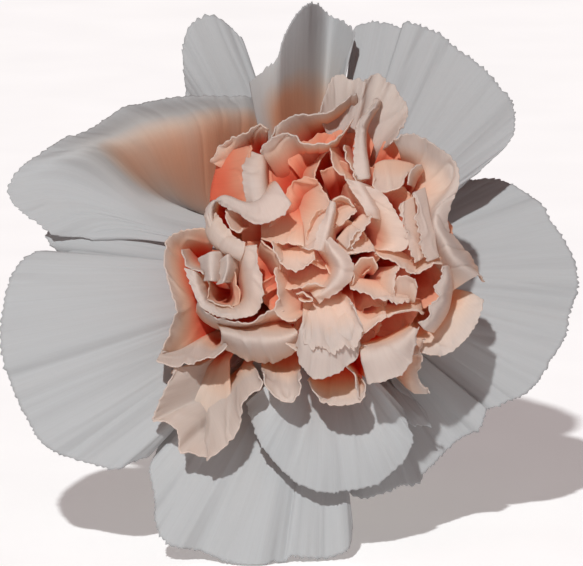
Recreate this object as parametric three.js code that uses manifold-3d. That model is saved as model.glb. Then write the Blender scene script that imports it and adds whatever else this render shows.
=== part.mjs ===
// A cut carnation that lies on its side: a pale fringed bloom on a short cut stem with two leaf pairs.
// Millimetres, +Z up. The bloom faces -Y and a little up, and the stem runs back along +Y.
// It rests on the bottom petal's lower edge and on the stem's cut end, both at z = 0.
// The origin is the middle of its box, on the surface it lies on.
import * as THREE from 'three';
import { mergeVertices } from 'three/addons/utils/BufferGeometryUtils.js';
import Module from 'manifold-3d';

// Driving dimensions
const PETAL_THICKNESS = 0.6;
const LEAF_THICKNESS = 0.8;
const GAP = 0.3; // clearance between two pieces that touch
const LOOSE = 0.25; // and what a cup or sleeve stands off besides
const SLIVER = 0.08; // detail finer than this is cleared where blades cross
const THROAT = new THREE.Vector3(4.4, -44.4, 35.3); // where the petals spread out of the calyx
const FACE_ELEVATION = THREE.MathUtils.degToRad(10); // the drawn face looks this far above level
const FLOWER_AXIS = new THREE.Vector3(0.12, 0.17, 0.98).normalize(); // in the face's own frame

// The face's own frame: x right, y up and z out of the bloom, from the throat.
// The guard petals spread on a plane square to the flower's axis, and the crumpled heart is a dome
// that droops less at the bottom.
const UP = new THREE.Vector3(0, 0, 1);
const GUARD_SLOPE = { x: -0.12, y: -0.17 };
const DOME = { x: 2.6, y: 4.6, height: 24, radius: 24, rimHeight: 10, droop: 0.8 };

// Plain guard petals: the feet that a blade fans out of, [right, up, height], how far it arches, and
// its toothed hem, [right, up, lift off the plane].
// Folded petals: the lines that a blade runs through, from its feet through its folds to its hem,
// all of [right, up, lift off the plane, or off the dome in the heart].
const GUARD_PETALS = [
  {
    name: 'left', arch: 3,
    feet: [[0, 0, 1.5]],
    hem: [
      [-32.5, 3, 0], [-37.3, 3.2, 1], [-40.4, -0.1, 1], [-41.7, -6.5, 1], [-41.2, -11.7, 1],
      [-39, -17.6, 0], [-35.8, -22.2, -1], [-30.3, -24.2, 1], [-26, -25, 2], [-23, -23, 1],
      [-21.8, -20.2, -1]
    ],
  },
  {
    name: 'left_wing', arch: 0,
    feet: [[-8.2, 3.2, 2], [-8.2, 4, 1.6], [-8.2, 4.8, 1.2], [-8.2, 5.9, 1], [-8.1, 6.9, 1],
    [-7.8, 7.9, 1.4], [-7.4, 9, 2], [-6.9, 10, 3]],
    hem: [
      [-27.9, 5.1, 1], [-34.5, 5.1, 1], [-37.3, 6.9, 1], [-39.6, 8.5, 1], [-41, 10.8, 1],
      [-39.6, 13.7, 1], [-37.1, 15.6, 1], [-33.9, 17.6, 1], [-32.1, 17.9, 2], [-29.5, 19.2, 3],
      [-26.9, 20.8, 4.5], [-24.1, 22, 5.5], [-20.8, 22.6, 6], [-17.6, 22.9, 6.5], [-14.3, 23, 6.5],
      [-9.8, 22.9, 5], [-5.2, 22, 2]
    ],
    folds: [
      [
        [-22.8, 4.5, 2], [-27.9, 6.9, 1.5], [-31.9, 9.1, 1.5], [-33.7, 10.4, 1.5], [-33.4, 12.3, 2],
        [-31.6, 14.2, 3.5], [-29.5, 15.5, 6], [-26.9, 16.5, 9], [-24.1, 17.4, 11], [-21.4, 18.2, 12],
        [-18.9, 18.7, 12.5], [-16.2, 19.1, 12], [-13.4, 19.4, 10.5], [-9.8, 19.6, 7.5], [-5.9, 19.1, 4],
      ],
      [
        [-15.6, 3.6, 3], [-18.2, 5.1, 2.5], [-20.4, 6.4, 2], [-22.1, 7.7, 1.4], [-22.1, 9, 1],
        [-20.8, 9.5, 0.8], [-19.5, 9.4, 0.8], [-18.2, 9, 1], [-17, 8.6, 1.2], [-15.7, 8.2, 1.4],
        [-14.2, 7.9, 1.8], [-12.6, 8.2, 2.4], [-10.8, 9, 3.4], [-8.7, 10.3, 5],
      ],
    ],
  },
  {
    name: 'left_under', arch: 3,
    feet: [[0, 0, 1.5]],
    hem: [
      [-31.9, 9.1, -0.8], [-34.7, 6.9, -0.8], [-36, 5.1, -0.8], [-35.2, 3.8, -0.8], [-33.1, 2.5, -0.8],
      [-29.2, 1.2, -0.8], [-24.1, 0.1, -0.8], [-19.5, -0.4, -0.8]
    ],
  },
  {
    name: 'top_left', arch: 3,
    feet: [[0, 0, 1.5]],
    hem: [
      [-18.3, 22.8, -3], [-18.5, 26.7, -2], [-18.5, 29.9, -2], [-17.6, 32.5, -2], [-15.9, 33.7, -2],
      [-14.3, 33.7, -2], [-12.6, 32.6, -2], [-10.7, 30.3, -2], [-9.8, 27.7, -2], [-9.4, 24.1, -3]
    ],
  },
  {
    name: 'top', arch: 0,
    feet: [[-8.2, 15, 5], [-4.5, 15, 3], [-0.9, 17.6, 1], [1.3, 17.6, 4]],
    hem: [
      [-9.8, 24.8, 9], [-7.9, 26.3, 11], [-6.2, 27.9, 12], [-5.2, 30.8, 12], [-3.6, 33.8, 10],
      [-2.2, 35, 7], [-0.9, 35.2, 2], [0.8, 33.8, 0], [2.6, 32.9, 2], [3.8, 31.3, 4], [3.1, 29, 4],
      [2, 26.4, 3]
    ],
  },
  {
    name: 'top_right', arch: 3,
    feet: [[0, 0, 1.5]],
    hem: [
      [3.5, 27.9, -1], [3.8, 32.4, -1], [7.8, 33.1, 0], [9.8, 32.4, 1], [10.8, 33.1, 1], [14, 31.9, 0],
      [15.6, 31.1, 0], [17.6, 29.2, 0], [19.9, 27.7, 1], [22.8, 24.8, 2], [24.3, 22.8, 3],
      [24.6, 18.9, 5], [22.8, 16.2, 6], [20.2, 13.7, 6.5], [17.8, 11.1, 6]
    ],
  },
  {
    name: 'right', arch: 3,
    feet: [[0, 0, 1.5]],
    hem: [
      [15, 11.1, -5], [17.6, 12.3, -5], [20.2, 12.6, -4.5], [22.5, 12.6, -4], [25.7, 11.3, -3],
      [28.2, 9.4, -2], [29.6, 6.9, -2], [32.2, 3.2, -1], [33, -2, -1], [31.9, -5.2, -1],
      [31.2, -8.5, -1], [29.2, -11.3, -1], [26.7, -15, -2], [23.4, -16.6, -3], [21.1, -17.4, -3],
      [18.2, -16.5, -4]
    ],
  },
  {
    name: 'bottom_right', arch: 3,
    feet: [[0, 0, 1.5]],
    hem: [
      [21.1, -17.4, -2], [19.9, -20.2, -3], [17.8, -21.4, -4], [15.6, -23.4, -4], [13, -25.7, -4],
      [12.1, -27, -4], [9.8, -27.2, -4], [7.2, -28.3, -4], [5.2, -28.9, -4], [3.2, -28.2, -4],
      [0.7, -26.7, -4]
    ],
  },
  {
    name: 'bottom', arch: 3,
    feet: [[0, 0, 1.5]],
    hem: [
      [-21.1, -21.4, 0], [-22.5, -24.1, 0], [-22.6, -25.6, 0], [-22.1, -29.2, 0], [-21.8, -31.9, 0],
      [-20.2, -34.5, 0], [-16.2, -35.6, 0], [-13.7, -36.5, 0], [-9.1, -37.4, 1], [-6.5, -36.8, 1],
      [-5.6, -37.2, 1], [-4.2, -36.1, 1], [-0.7, -36.5, 0], [2.3, -35.5, 0], [3.2, -33.1, 0],
      [3.1, -31.2, 0], [1.3, -28.2, 0]
    ],
  },
  {
    name: 'bottom_front', arch: 3.4,
    feet: [[0, -7.8, 9]],
    hem: [
      [-10, -16.2, 7.5], [-9, -19.5, 7.5], [-7.4, -22.8, 7], [-4.8, -25.6, 6], [-0.7, -27.7, 5.5],
      [3.2, -27.7, 5.5], [7.2, -26.7, 5.5], [10.1, -24.1, 6.5], [11.3, -21.4, 8], [10.8, -19.4, 9],
      [10, -16.8, 9.5]
    ],
  },
  {
    name: 'bottom_lip', arch: 3,
    feet: [[5.9, -9.8, 4]],
    hem: [
      [5.9, -16.2, 4], [10.3, -18.9, 5], [12.3, -19.4, 4], [14, -19.5, 3], [13, -17.8, 3],
      [10.4, -16, 4]
    ],
  },
];

const HEART_PETALS = [
  {
    name: 'tent', arch: 0,
    feet: [[0.4, 17.3, -5], [1.7, 16.8, -5.5], [3.2, 16.5, -6], [4.8, 16.5, -6], [6.1, 16.2, -6],
    [7.2, 15.7, -5.5]],
    hem: [
      [-0.7, 20.4, -1], [0, 23.1, 0], [1, 25.2, 1], [2.2, 25.5, 1.5], [3.2, 24.8, 1.5],
      [4.3, 25.1, 1.5], [5.1, 24.4, 1.5], [5.9, 25.4, 1.5], [6.9, 25.5, 1.5], [7.7, 24.6, 1.5],
      [8.6, 24.2, 1], [9.5, 22.9, 0.5], [10.4, 21.3, 0], [10.1, 19.9, 0], [9.2, 18.5, 0],
      [7.9, 16.8, -0.5]
    ],
  },
  {
    name: 'top_band', arch: 0,
    feet: [[-6.4, 14.2, -5], [-5.3, 15, -6], [-4.3, 15.5, -6], [-3, 16, -7], [-1.4, 16.2, -9],
    [0.1, 17.3, -9], [1.4, 18.6, -9], [2.7, 19.6, -7], [4, 20.4, -5]],
    hem: [
      [-7.9, 16, 0], [-7.2, 17.2, 0.5], [-6.4, 18.5, 0.8], [-5.2, 19.6, 1.2], [-3.2, 20.3, 1.4],
      [-0.9, 20.4, 1.4], [0.7, 20.8, 1.2], [2.6, 22.1, 1], [4.2, 22.8, 0.5]
    ],
  },
  {
    name: 'top_fold', arch: 0,
    feet: [[-6.1, 12.3, -6], [-5.3, 12.6, -6], [-4.4, 13.1, -6], [-3.4, 13.9, -7], [-2.2, 14.7, -8],
    [-0.9, 15, -9], [0.4, 15.2, -9], [1.7, 16.5, -9], [3, 18.1, -7]],
    hem: [
      [-8.2, 15.5, 0.5], [-7.5, 16.8, 1], [-6, 17.8, 1.2], [-4.3, 17.7, 1.2], [-3, 16.6, 1],
      [-1.8, 16.4, 0.8], [-0.4, 16.4, 0.8], [1.2, 17, 0.8], [2.3, 18.3, 0.8], [3.4, 20.2, 0.6]
    ],
  },
  {
    name: 'shade', arch: 0,
    feet: [[-0.4, 16.5, -7], [-1.7, 15, -7], [-3, 13.4, -7], [-3.4, 11.6, -7], [-3.5, 10, -6.5],
    [-3.5, 8.5, -6], [-3.8, 6.9, -5], [-4, 5.3, -4.5], [-4.3, 4, -4]],
    hem: [
      [0.7, 16.2, -4], [-0.5, 14.6, -4], [-1.4, 12.6, -3.5], [-0.7, 11.1, -3], [0.4, 9.4, -2],
      [0.5, 8.3, -1.8], [-0.3, 6.4, -1.2], [-1, 4.5, -0.6], [-1.7, 3.5, -0.2], [-2.7, 3.4, 0]
    ],
  },
  {
    name: 'edge_two', arch: 0,
    feet: [[3.2, 16.4, -6], [3.6, 15.2, -6], [4, 14, -6], [4.4, 13, -5], [5.1, 12, -4]],
    hem: [
      [2.1, 16.4, 0.2], [2.2, 15.2, 0.4], [2.9, 13.9, 0.6], [3.2, 12.6, 0.8], [3.9, 11.3, 0.8]
    ],
  },
  {
    name: 'strip', arch: 0,
    feet: [[7.4, 21.8, -5], [6.8, 20.5, -6], [5.6, 19, -6], [5.3, 17.4, -6], [5.3, 15.6, -6],
    [5.5, 14.2, -6], [5.6, 13.1, -5], [5.6, 12.2, -4]],
    hem: [
      [6.4, 22.5, 0.6], [5.6, 21.4, 1], [4.2, 19.6, 1.3], [3.8, 18.1, 1.5], [3.6, 16.2, 1.5],
      [3.5, 14.7, 1.5], [3.6, 13.1, 1.5], [4, 12, 1]
    ],
    folds: [
      [
        [7, 22.2, 0.3], [6.2, 21.1, 0.9], [5.1, 19.2, 1.2], [4.8, 17.6, 1.4], [4.9, 15.6, 1.4],
        [5.1, 14.2, 1.4], [5.2, 13, 1.2], [5.2, 12.1, 1],
      ],
    ],
  },
  {
    name: 'square', arch: 0,
    feet: [[6.2, 14, -2], [6.9, 14.4, -2], [7.9, 14.6, -2], [9, 14.6, -2], [10, 14.4, -2],
    [10.8, 14.2, -2], [11.3, 13.9, -2]],
    hem: [
      [6, 12.3, 0.5], [5.9, 11.1, 0.8], [7.2, 10.5, 0.8], [8.5, 10.7, 0.8], [9.4, 10.9, 0.8],
      [10, 12, 0.6], [10.5, 12.9, 0.3]
    ],
  },
  {
    name: 'foldlet', arch: 0,
    feet: [[11.3, 11.1, -3], [11.6, 12, -3], [12, 12.7, -3], [12.5, 13.3, -3]],
    hem: [
      [10.4, 11.4, 0.6], [10.5, 12.7, 1], [11.1, 13.7, 1], [12.1, 14, 0.8]
    ],
  },
  {
    name: 'arch', arch: 0,
    feet: [[9.8, 14.2, -5], [10.5, 13.9, -5], [11.3, 13.4, -5], [11.7, 12.3, -5], [11.7, 11.1, -4.5],
    [11.8, 9.8, -3.5], [12, 8.5, -3], [12.1, 6.9, -3], [12.5, 5.3, -3], [13.3, 3.6, -3],
    [14.2, 2.1, -3], [15.3, 0.4, -3], [16.2, -2, -4]],
    hem: [
      [8.7, 17, 1.2], [10, 17.8, 1.5], [11.6, 17.7, 1.6], [13.7, 16.5, 1.6], [15.5, 15.2, 1.4],
      [16.8, 13.3, 1.2], [16.8, 11.1, 0.8], [15.7, 8.7, 0], [15.3, 6.9, -0.5], [16.1, 5.1, -1.5],
      [17.4, 3.4, -2.5], [18.9, 1.8, -3.5], [20.4, -0.9, -4]
    ],
    folds: [
      [
        [9.2, 15.9, -1], [10.3, 15.7, -1.4], [11.8, 15.2, -1.6], [13.3, 14.2, -1.8], [14.4, 12.7, -2],
        [15.1, 11.2, -1.8], [14.7, 9.8, -0.8], [13.9, 8.2, 0.3], [13.8, 6.4, 1], [15, 4.4, 1],
        [16, 2.5, 0.8], [17.4, 1.2, 0.3], [19.1, -0.1, -0.5],
      ],
    ],
  },
  {
    name: 'wrap', arch: 0,
    feet: [[2.7, 11.8, -1.5], [3.5, 10, -2], [4.3, 8.5, -3], [5.2, 7, -4], [5.9, 5.9, -4.5],
    [6.1, 4.9, -4.5], [6.2, 4.3, -4.5], [6.1, 3.8, -4.5], [5.7, 3.5, -4.5], [5.3, 3.4, -4.5]],
    hem: [
      [4.8, 11.3, 1], [6.1, 10.8, 1.2], [7.3, 10.1, 1], [8.2, 8.7, 0.8], [9, 7.3, 0.8],
      [9.8, 6.2, 0.8], [10.3, 5.1, 0.6], [10.4, 3.9, 0.5], [9.8, 3.1, 0.3], [8.5, 3, 0]
    ],
    folds: [
      [
        [4, 11.1, 1], [4.8, 10, 0.6], [6, 8.8, 0], [7, 7.4, -0.6], [7.7, 6.1, -0.8], [8.1, 5.1, -0.8],
        [8.2, 4.3, -0.8], [8.1, 3.8, -0.8], [7.5, 3.4, -0.8], [6.8, 3.2, -0.8],
      ],
    ],
  },
  {
    name: 'ridge', arch: 0,
    feet: [[6.1, 11.1, -2], [6.6, 10, -3], [7.2, 9, -4], [7.5, 7.9, -4], [7.7, 6.9, -4]],
    hem: [
      [2.5, 12.1, 0.6], [3, 11.1, 1], [3.6, 10.1, 1.3], [4.4, 8.8, 1.3], [5.1, 7.4, 1]
    ],
    folds: [
      [
        [4.3, 11.6, 1.4], [4.9, 10.5, 1.6], [5.6, 9.5, 1.4], [6.2, 8.3, 0.8], [6.6, 7, 0],
      ],
    ],
  },
  {
    name: 'whorl_one', arch: 0,
    feet: [[1.6, 3.9, -1.2], [2, 4.7, -1], [2.5, 5.6, -1], [3.1, 6.4, -1], [3.9, 7, -1],
    [4.7, 7.7, -1.2]],
    hem: [
      [3.2, 3.2, 1], [3.8, 4.2, 1.5], [4.2, 4.9, 1.7], [4.7, 5.7, 1.7], [5.2, 6.4, 1.5], [5.9, 7.3, 1]
    ],
  },
  {
    name: 'whorl_two', arch: 0,
    feet: [[2, 4.4, -2.2], [2.7, 4.3, -2.2], [3.5, 4.4, -2.2], [4.3, 4.5, -2.2], [5.3, 4.7, -2.2]],
    hem: [
      [0.9, 3, 0.6], [2.1, 2.7, 1.1], [3.2, 3, 1.3], [4.7, 3, 1.2], [6.2, 3.2, 0.9]
    ],
  },
  {
    name: 'spike', arch: 0,
    feet: [[1.4, 8.7, -5], [1.3, 6.9, -5], [1.2, 5.1, -4], [1, 3.6, -3], [1, 2.7, -2]],
    hem: [
      [0.5, 9.4, 1], [0, 7.7, 1.3], [-0.8, 5.9, 1.4], [-1.3, 4.2, 1.2], [-1.7, 3.2, 0.8]
    ],
    folds: [
      [
        [0.9, 9.1, 1.4], [0.7, 7.2, 1.6], [0.3, 5.3, 1.6], [-0.1, 3.8, 1.4], [-0.5, 2.9, 1],
      ],
    ],
  },
  {
    name: 'drop', arch: 0,
    feet: [[-1.4, 3.8, -2.5], [-0.7, 2.7, -3], [0, 1.7, -3.5], [0.3, 0.9, -3.5], [0.1, 0, -3.5],
    [-0.5, -0.7, -3.5], [-1.3, -1.2, -3.5], [-2.2, -1.8, -3.5]],
    hem: [
      [0.3, 5.1, 1], [1.7, 3.6, 1.2], [2.9, 2.3, 1.2], [3.4, 0.9, 1], [3.1, -0.5, 0.8], [2, -1.7, 0.5],
      [0.5, -2.7, 0.2], [-0.9, -3.6, -0.3]
    ],
    folds: [
      [
        [-0.4, 4.5, 1.6], [0.5, 3.1, 2], [1.3, 2, 2.2], [1.7, 0.9, 2], [1.4, -0.3, 1.6],
        [0.7, -1.2, 1.2], [-0.4, -2, 0.8], [-1.6, -2.7, 0.3],
      ],
    ],
  },
  {
    name: 'frill', arch: 0,
    feet: [[-5.9, 3, -2], [-5.1, 3.2, -2.4], [-4.2, 3.4, -2.5], [-3.2, 3.4, -2.5], [-2.3, 3.5, -2.2],
    [-1.6, 3.5, -1.8]],
    hem: [
      [-6.1, 1.8, 0.4], [-5.5, 1.2, 0.9], [-4.4, 0.7, 1.1], [-3.2, 0.8, 1.1], [-2.3, 1.2, 1],
      [-1.4, 2, 0.6]
    ],
  },
  {
    name: 'red_face', arch: 0,
    feet: [[-5.3, 1.4, -6], [-4, 1.7, -6.5], [-2.9, 2, -7], [-1.6, 2.2, -7], [-0.4, 2, -7],
    [0.7, 1.4, -6.5]],
    hem: [
      [-5.5, -1.7, -1.5], [-4.3, -2, -1.5], [-3, -1.7, -1.2], [-1.6, -1.2, -1], [-0.1, -1.2, -1],
      [0.9, -0.4, -1.2]
    ],
  },
  {
    name: 'deep_edge', arch: 0,
    feet: [[-5.3, 0.7, -4], [-4.7, -0.3, -4], [-4.2, -1.2, -4], [-3.8, -2.1, -4], [-3.4, -2.9, -4],
    [-3.1, -3.5, -4], [-2.9, -4.2, -4], [-2.7, -4.8, -3]],
    hem: [
      [-6.5, 0.9, -0.3], [-6.2, -0.7, 0.4], [-5.9, -2, 0.5], [-6.2, -3.1, 0.5], [-6.5, -4.3, 0.5],
      [-6, -5.2, 0.4], [-5.1, -5.9, 0.2], [-3.8, -6.1, 0]
    ],
  },
  {
    name: 'inner_face', arch: 0,
    feet: [[-8.2, 7.2, -5], [-6.6, 7.7, -5.5], [-5.1, 8.7, -6], [-3.8, 8.7, -6], [-3, 7.9, -5.5]],
    hem: [
      [-8.2, 4.5, -1.2], [-6.9, 4, -1], [-5.2, 3.6, -0.8], [-3.5, 3.6, -0.6], [-2.7, 3.5, -0.6]
    ],
  },
  {
    name: 'back_wall', arch: 0,
    feet: [[-8.7, 1.4, -8], [-8.3, 0.7, -9], [-7.9, -0.3, -10], [-7.4, -1.2, -10], [-6.9, -2, -10]],
    hem: [
      [-8.3, 4.3, -0.6], [-7.5, 3.5, -0.6], [-6.6, 2.7, -0.8], [-6.1, 1.8, -1], [-5.7, 0.7, -1.5]
    ],
  },
  {
    name: 'cup', arch: 0,
    feet: [[-15.2, -0.3, -5], [-14.8, -1.4, -5.5], [-14.6, -2.6, -6], [-13.8, -3.2, -6.5],
    [-12.3, -3.4, -6.5], [-11.4, -2.9, -6], [-11.1, -1.8, -5.5], [-11.2, -0.3, -5], [-11.4, 1.2, -5],
    [-11.7, 2.7, -5]],
    hem: [
      [-17.9, 0.9, 0.6], [-17, -1.7, 0.9], [-15.9, -3.9, 0.9], [-13.9, -5.3, 0.7], [-11.4, -5.7, 0.7],
      [-9.2, -4.9, 0.9], [-8.2, -3.2, 1.1], [-8.2, -0.7, 1.1], [-8.5, 1.7, 1], [-8.8, 3.8, 0.8]
    ],
    folds: [
      [
        [-16.6, 0.4, 0.1], [-16, -1.7, -0.2], [-15.1, -3.4, -0.5], [-13.7, -4.3, -0.7],
        [-11.7, -4.4, -0.7], [-10.3, -3.6, -0.3], [-9.8, -2.2, 0], [-9.9, -0.1, 0.3],
        [-10.3, 1.7, 0.4], [-10.7, 3.5, 0.2],
      ],
    ],
  },
  {
    name: 'left_coral', arch: 0,
    feet: [[-14.7, 2.6, -7], [-15.5, 2.2, -8], [-16.1, 2, -8], [-16.6, 1.6, -8], [-16.9, 0.9, -8],
    [-16.9, -0.4, -8], [-16.4, -2.3, -8], [-15.7, -4.5, -8], [-15.5, -6.9, -8], [-16, -9, -7]],
    hem: [
      [-13.9, 4.8, -1], [-15.6, 5.5, -0.2], [-17.8, 5.5, 0], [-19.9, 4.8, 0.2], [-20.5, 3, 0.7],
      [-20.4, 0.7, 1], [-19.8, -2.2, 1.1], [-19.4, -4.5, 1], [-19.9, -7.2, 0.5], [-21.2, -9.5, -0.5]
    ],
    folds: [
      [
        [-14.4, 3.8, -2.5], [-15.9, 4.2, -3], [-17.6, 4, -3], [-18.9, 3.5, -3], [-19.2, 2.2, -2.8],
        [-19, 0.1, -2.8], [-18.3, -2.3, -2.8], [-17.9, -4.7, -3], [-18.2, -7.3, -3],
        [-19.4, -9.8, -3.2],
      ],
    ],
  },
  {
    name: 'back_peach', arch: 0,
    feet: [[-13.5, 15.5, -3], [-14, 13.9, -3], [-14.4, 12.3, -3], [-14.7, 10.9, -3], [-14.8, 9.5, -3]],
    hem: [
      [-9.5, 16.5, 0.3], [-9.6, 14.7, 0.3], [-9.8, 12.7, 0.2], [-10, 10.9, 0], [-10.1, 9.1, -0.3]
    ],
  },
  {
    name: 'pink_tip', arch: 0,
    feet: [[-11.3, 12.6, -5], [-10.7, 13.7, -5.5], [-9.9, 14.6, -6], [-9.1, 15.3, -6], [-8.2, 16, -6],
    [-7.4, 16.4, -5]],
    hem: [
      [-14.8, 14.4, -0.6], [-13.5, 16.1, 0.3], [-11.7, 17.3, 0.8], [-9.9, 18.3, 1], [-8.3, 19.2, 1],
      [-7.3, 18.5, 0.4]
    ],
  },
  {
    name: 'leg', arch: 0,
    feet: [[-6.9, 9.5, -6], [-7.2, 11.6, -6], [-7.3, 13.7, -6], [-7.5, 15.2, -5]],
    hem: [
      [-10, 9.1, 1], [-10.3, 11.6, 0.9], [-10.4, 14, 0.6], [-9.8, 15.9, 0.2]
    ],
    folds: [
      [
        [-8.8, 9.2, 1.5], [-9, 11.6, 1.2], [-9.1, 13.8, 0.8], [-8.7, 15.5, 0.5],
      ],
      [
        [-7.4, 9.5, 0], [-7.7, 11.6, -0.3], [-7.8, 13.7, -0.5], [-7.8, 15.2, -0.6],
      ],
    ],
  },
  {
    name: 'band', arch: 0,
    feet: [[-13.4, 5.2, -5], [-13.7, 7.7, -6], [-13.4, 8.8, -6], [-12.3, 9.1, -6], [-10.9, 8.7, -6],
    [-9.6, 8.7, -5], [-8.8, 9.5, -4], [-8.2, 10.5, -4], [-7.5, 11.3, -4], [-6.9, 11.8, -4]],
    hem: [
      [-14.8, 4.8, -0.5], [-15.5, 7.4, 0.2], [-15, 8.7, 0.8], [-13.7, 9.1, 1.2], [-12.2, 8.3, 1.5],
      [-10.4, 7.4, 1.8], [-8.8, 6.4, 2], [-6.9, 6.8, 2], [-5.3, 7.7, 2], [-4.4, 9, 1.5]
    ],
    folds: [
      [
        [-14.4, 5.1, 0.2], [-15, 7.5, 0.9], [-14.6, 9, 1.5], [-13.3, 9.5, 1.8], [-11.6, 8.7, 2],
        [-9.9, 8.1, 2.2], [-8.5, 7.5, 2.3], [-7, 8.1, 2.3], [-5.9, 9, 2.2], [-5.1, 10, 1.8],
      ],
      [
        [-13.9, 5.2, -0.5], [-14.4, 7.7, 0.2], [-14, 9.5, 0.8], [-12.9, 10, 1], [-11.1, 9.4, 1.2],
        [-9.6, 9, 1.4], [-8.6, 9.2, 1.5], [-7.7, 9.9, 1.5], [-6.9, 10.9, 1.2], [-6.2, 11.7, 0.8],
      ],
    ],
  },
  {
    name: 'saddle', arch: 0,
    feet: [[-14.6, 4.8, -6], [-13.9, 3.8, -6], [-13, 3, -6], [-11.8, 2.5, -6], [-10.7, 2, -6]],
    hem: [
      [-14.2, 8.2, -0.8], [-13.3, 6.9, -0.5], [-12.3, 5.7, -0.2], [-11.3, 4.5, 0.2], [-10.1, 4, 0.4]
    ],
    folds: [
      [
        [-14.8, 6.9, 0], [-14, 5.6, 0.6], [-12.9, 4.4, 0.9], [-11.6, 3.4, 1], [-10.3, 2.9, 0.9],
      ],
      [
        [-15.3, 5.6, -1], [-14.7, 4.3, -0.8], [-13.7, 3.2, -0.6], [-12.2, 2.5, -0.4],
        [-10.8, 1.8, -0.4],
      ],
    ],
  },
  {
    name: 'ribbon', arch: 0,
    feet: [[6.4, 3.2, -2.5], [7.4, 3.2, -3], [8.7, 3.1, -3], [9.9, 2.7, -3], [10.9, 2, -3],
    [11.6, 1.6, -3], [12.3, 2, -3], [13.4, 2.6, -3], [14.6, 2.6, -3]],
    hem: [
      [6.1, 2.5, 0.3], [7.2, 2.2, 0.8], [8.5, 2, 0.9], [9.5, 1.3, 0.9], [10.4, 0.4, 0.8],
      [11.3, -0.1, 0.8], [12.5, 0.5, 0.8], [13.7, 1.2, 0.8], [14.7, 1.2, 0.5]
    ],
  },
  {
    name: 'ribbon_right', arch: 0,
    feet: [[16.1, 1, -3], [16.2, -1, -3], [16, -3, -3], [15.6, -4.7, -3], [14.8, -6.1, -3],
    [13.8, -7.4, -3]],
    hem: [
      [14.6, 1, 0.5], [14.7, -0.3, 1], [13.8, -1.6, 1.1], [14.2, -2.9, 1.3], [13.1, -4, 1.1],
      [13, -5.2, 1], [11.8, -6.2, 0.5]
    ],
    folds: [
      [
        [15.3, 1.2, 0.1], [15.5, -0.5, 0.8], [15, -2.1, 0.8], [15, -3.5, 0.9], [14.2, -4.7, 0.7],
        [13.7, -5.9, 0.6], [12.6, -7, 0.2],
      ],
    ],
  },
  {
    name: 'lace', arch: 0,
    feet: [[11.2, 10, -0.6], [11.3, 7.9, -0.4], [11.7, 5.7, -0.4], [12, 3.6, -0.4], [12.6, 2.3, -0.5]],
    hem: [
      [9.4, 9, 0.3], [9.6, 7.2, 0.6], [10.4, 5.3, 0.7], [10.7, 3.2, 0.7], [11.4, 1.6, 0.5]
    ],
  },
  {
    name: 'lace_right', arch: 0,
    feet: [[12.5, 11.1, -0.4], [12.9, 9, 0], [13.3, 6.9, 0.2], [13.8, 5.1, 0.2], [14, 3.5, 0.1],
    [14.3, 2.2, -0.1]],
    hem: [
      [10.9, 10.3, 0.8], [11.3, 8.7, 1.1], [11.2, 7, 1.2], [11.8, 5.1, 1.2], [12, 3.2, 1.1],
      [13, 1.7, 0.8]
    ],
  },
  {
    name: 'fan_ring', arch: 0,
    feet: [[4.4, -1.3, -4], [4.7, -0.7, -4], [4.9, -0.1, -4], [5.3, 0.3, -4], [5.7, 0.3, -4],
    [6, 0, -4]],
    hem: [
      [3.2, -1.3, 0.1], [3.5, 0.4, 0.6], [4.2, 1.6, 0.8], [5.1, 2, 0.8], [6, 1.7, 0.7], [6.5, 0.8, 0.4]
    ],
  },
  {
    name: 'fan_right', arch: 0,
    feet: [[8.8, -3.4, -0.9], [9.5, -3.2, -1.1], [10.1, -3.1, -1.1], [10.8, -3.2, -1.1],
    [11.3, -3.5, -0.9]],
    hem: [
      [8.3, -1, -0.3], [9, -0.3, 0.4], [10, 0, 0.7], [11.1, -0.5, 0.5], [11.6, -1.6, 0]
    ],
  },
  {
    name: 'shelf', arch: 0,
    feet: [[2.9, -0.7, -2], [4.2, -0.5, -2.4], [5.5, -0.7, -2.6], [6.9, -0.9, -2.6], [8.2, -1.3, -2.5],
    [9.4, -1.7, -2.2], [10.5, -2, -2]],
    hem: [
      [3.1, -2.1, 0.8], [4.3, -2.1, 1.1], [5.3, -2.5, 1.3], [6.4, -2.9, 1.4], [7.8, -3.1, 1.4],
      [9.1, -3.5, 1.2], [10.5, -3.4, 0.6]
    ],
  },
  {
    name: 'shelf_low', arch: 0,
    feet: [[2.9, -4.7, -2], [4, -4.7, -2.5], [5.1, -5.1, -2.6], [6.2, -4.8, -2.6], [7.4, -3.6, -2.6]],
    hem: [
      [3.8, -8.2, 0.3], [4.5, -7.5, 0.8], [5.3, -6.9, 1], [6.5, -6, 1], [7.7, -5.3, 0.6]
    ],
  },
  {
    name: 'pale', arch: 0,
    feet: [[-2.9, -3.8, -2], [-2.2, -3.6, -2.4], [-1.4, -3.9, -2.6], [-0.7, -4.3, -2.8],
    [0.3, -3.8, -2.8], [1.2, -3.4, -2.8], [2, -2.9, -2.8], [2.6, -3.6, -2.4]],
    hem: [
      [-3.4, -8.2, 0.6], [-3.6, -9.9, 1.4], [-3, -11.7, 2.2], [-1.4, -13.1, 2.8], [0.7, -12.7, 2.8],
      [2.6, -11.6, 2.4], [3.9, -10.5, 1.8], [4.3, -8.8, 0.8]
    ],
    folds: [
      [
        [-3, -5.9, 1], [-2.9, -7, 1.4], [-2.2, -8.2, 1.9], [-1, -8.7, 2.2], [0.4, -8.5, 2.2],
        [1.7, -7.8, 2], [2.9, -7, 1.5], [3.5, -6, 0.9],
      ],
    ],
  },
  {
    name: 'pale_top', arch: 0,
    feet: [[-2.3, -4.8, -1], [-1.7, -4.2, -1.5], [-0.9, -3.8, -1.8], [-0.1, -3.5, -2], [0.7, -3.2, -2],
    [1.4, -3, -2.2], [2, -2.9, -2.2], [2.3, -2.7, -2], [2.7, -2.7, -1.5]],
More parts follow.
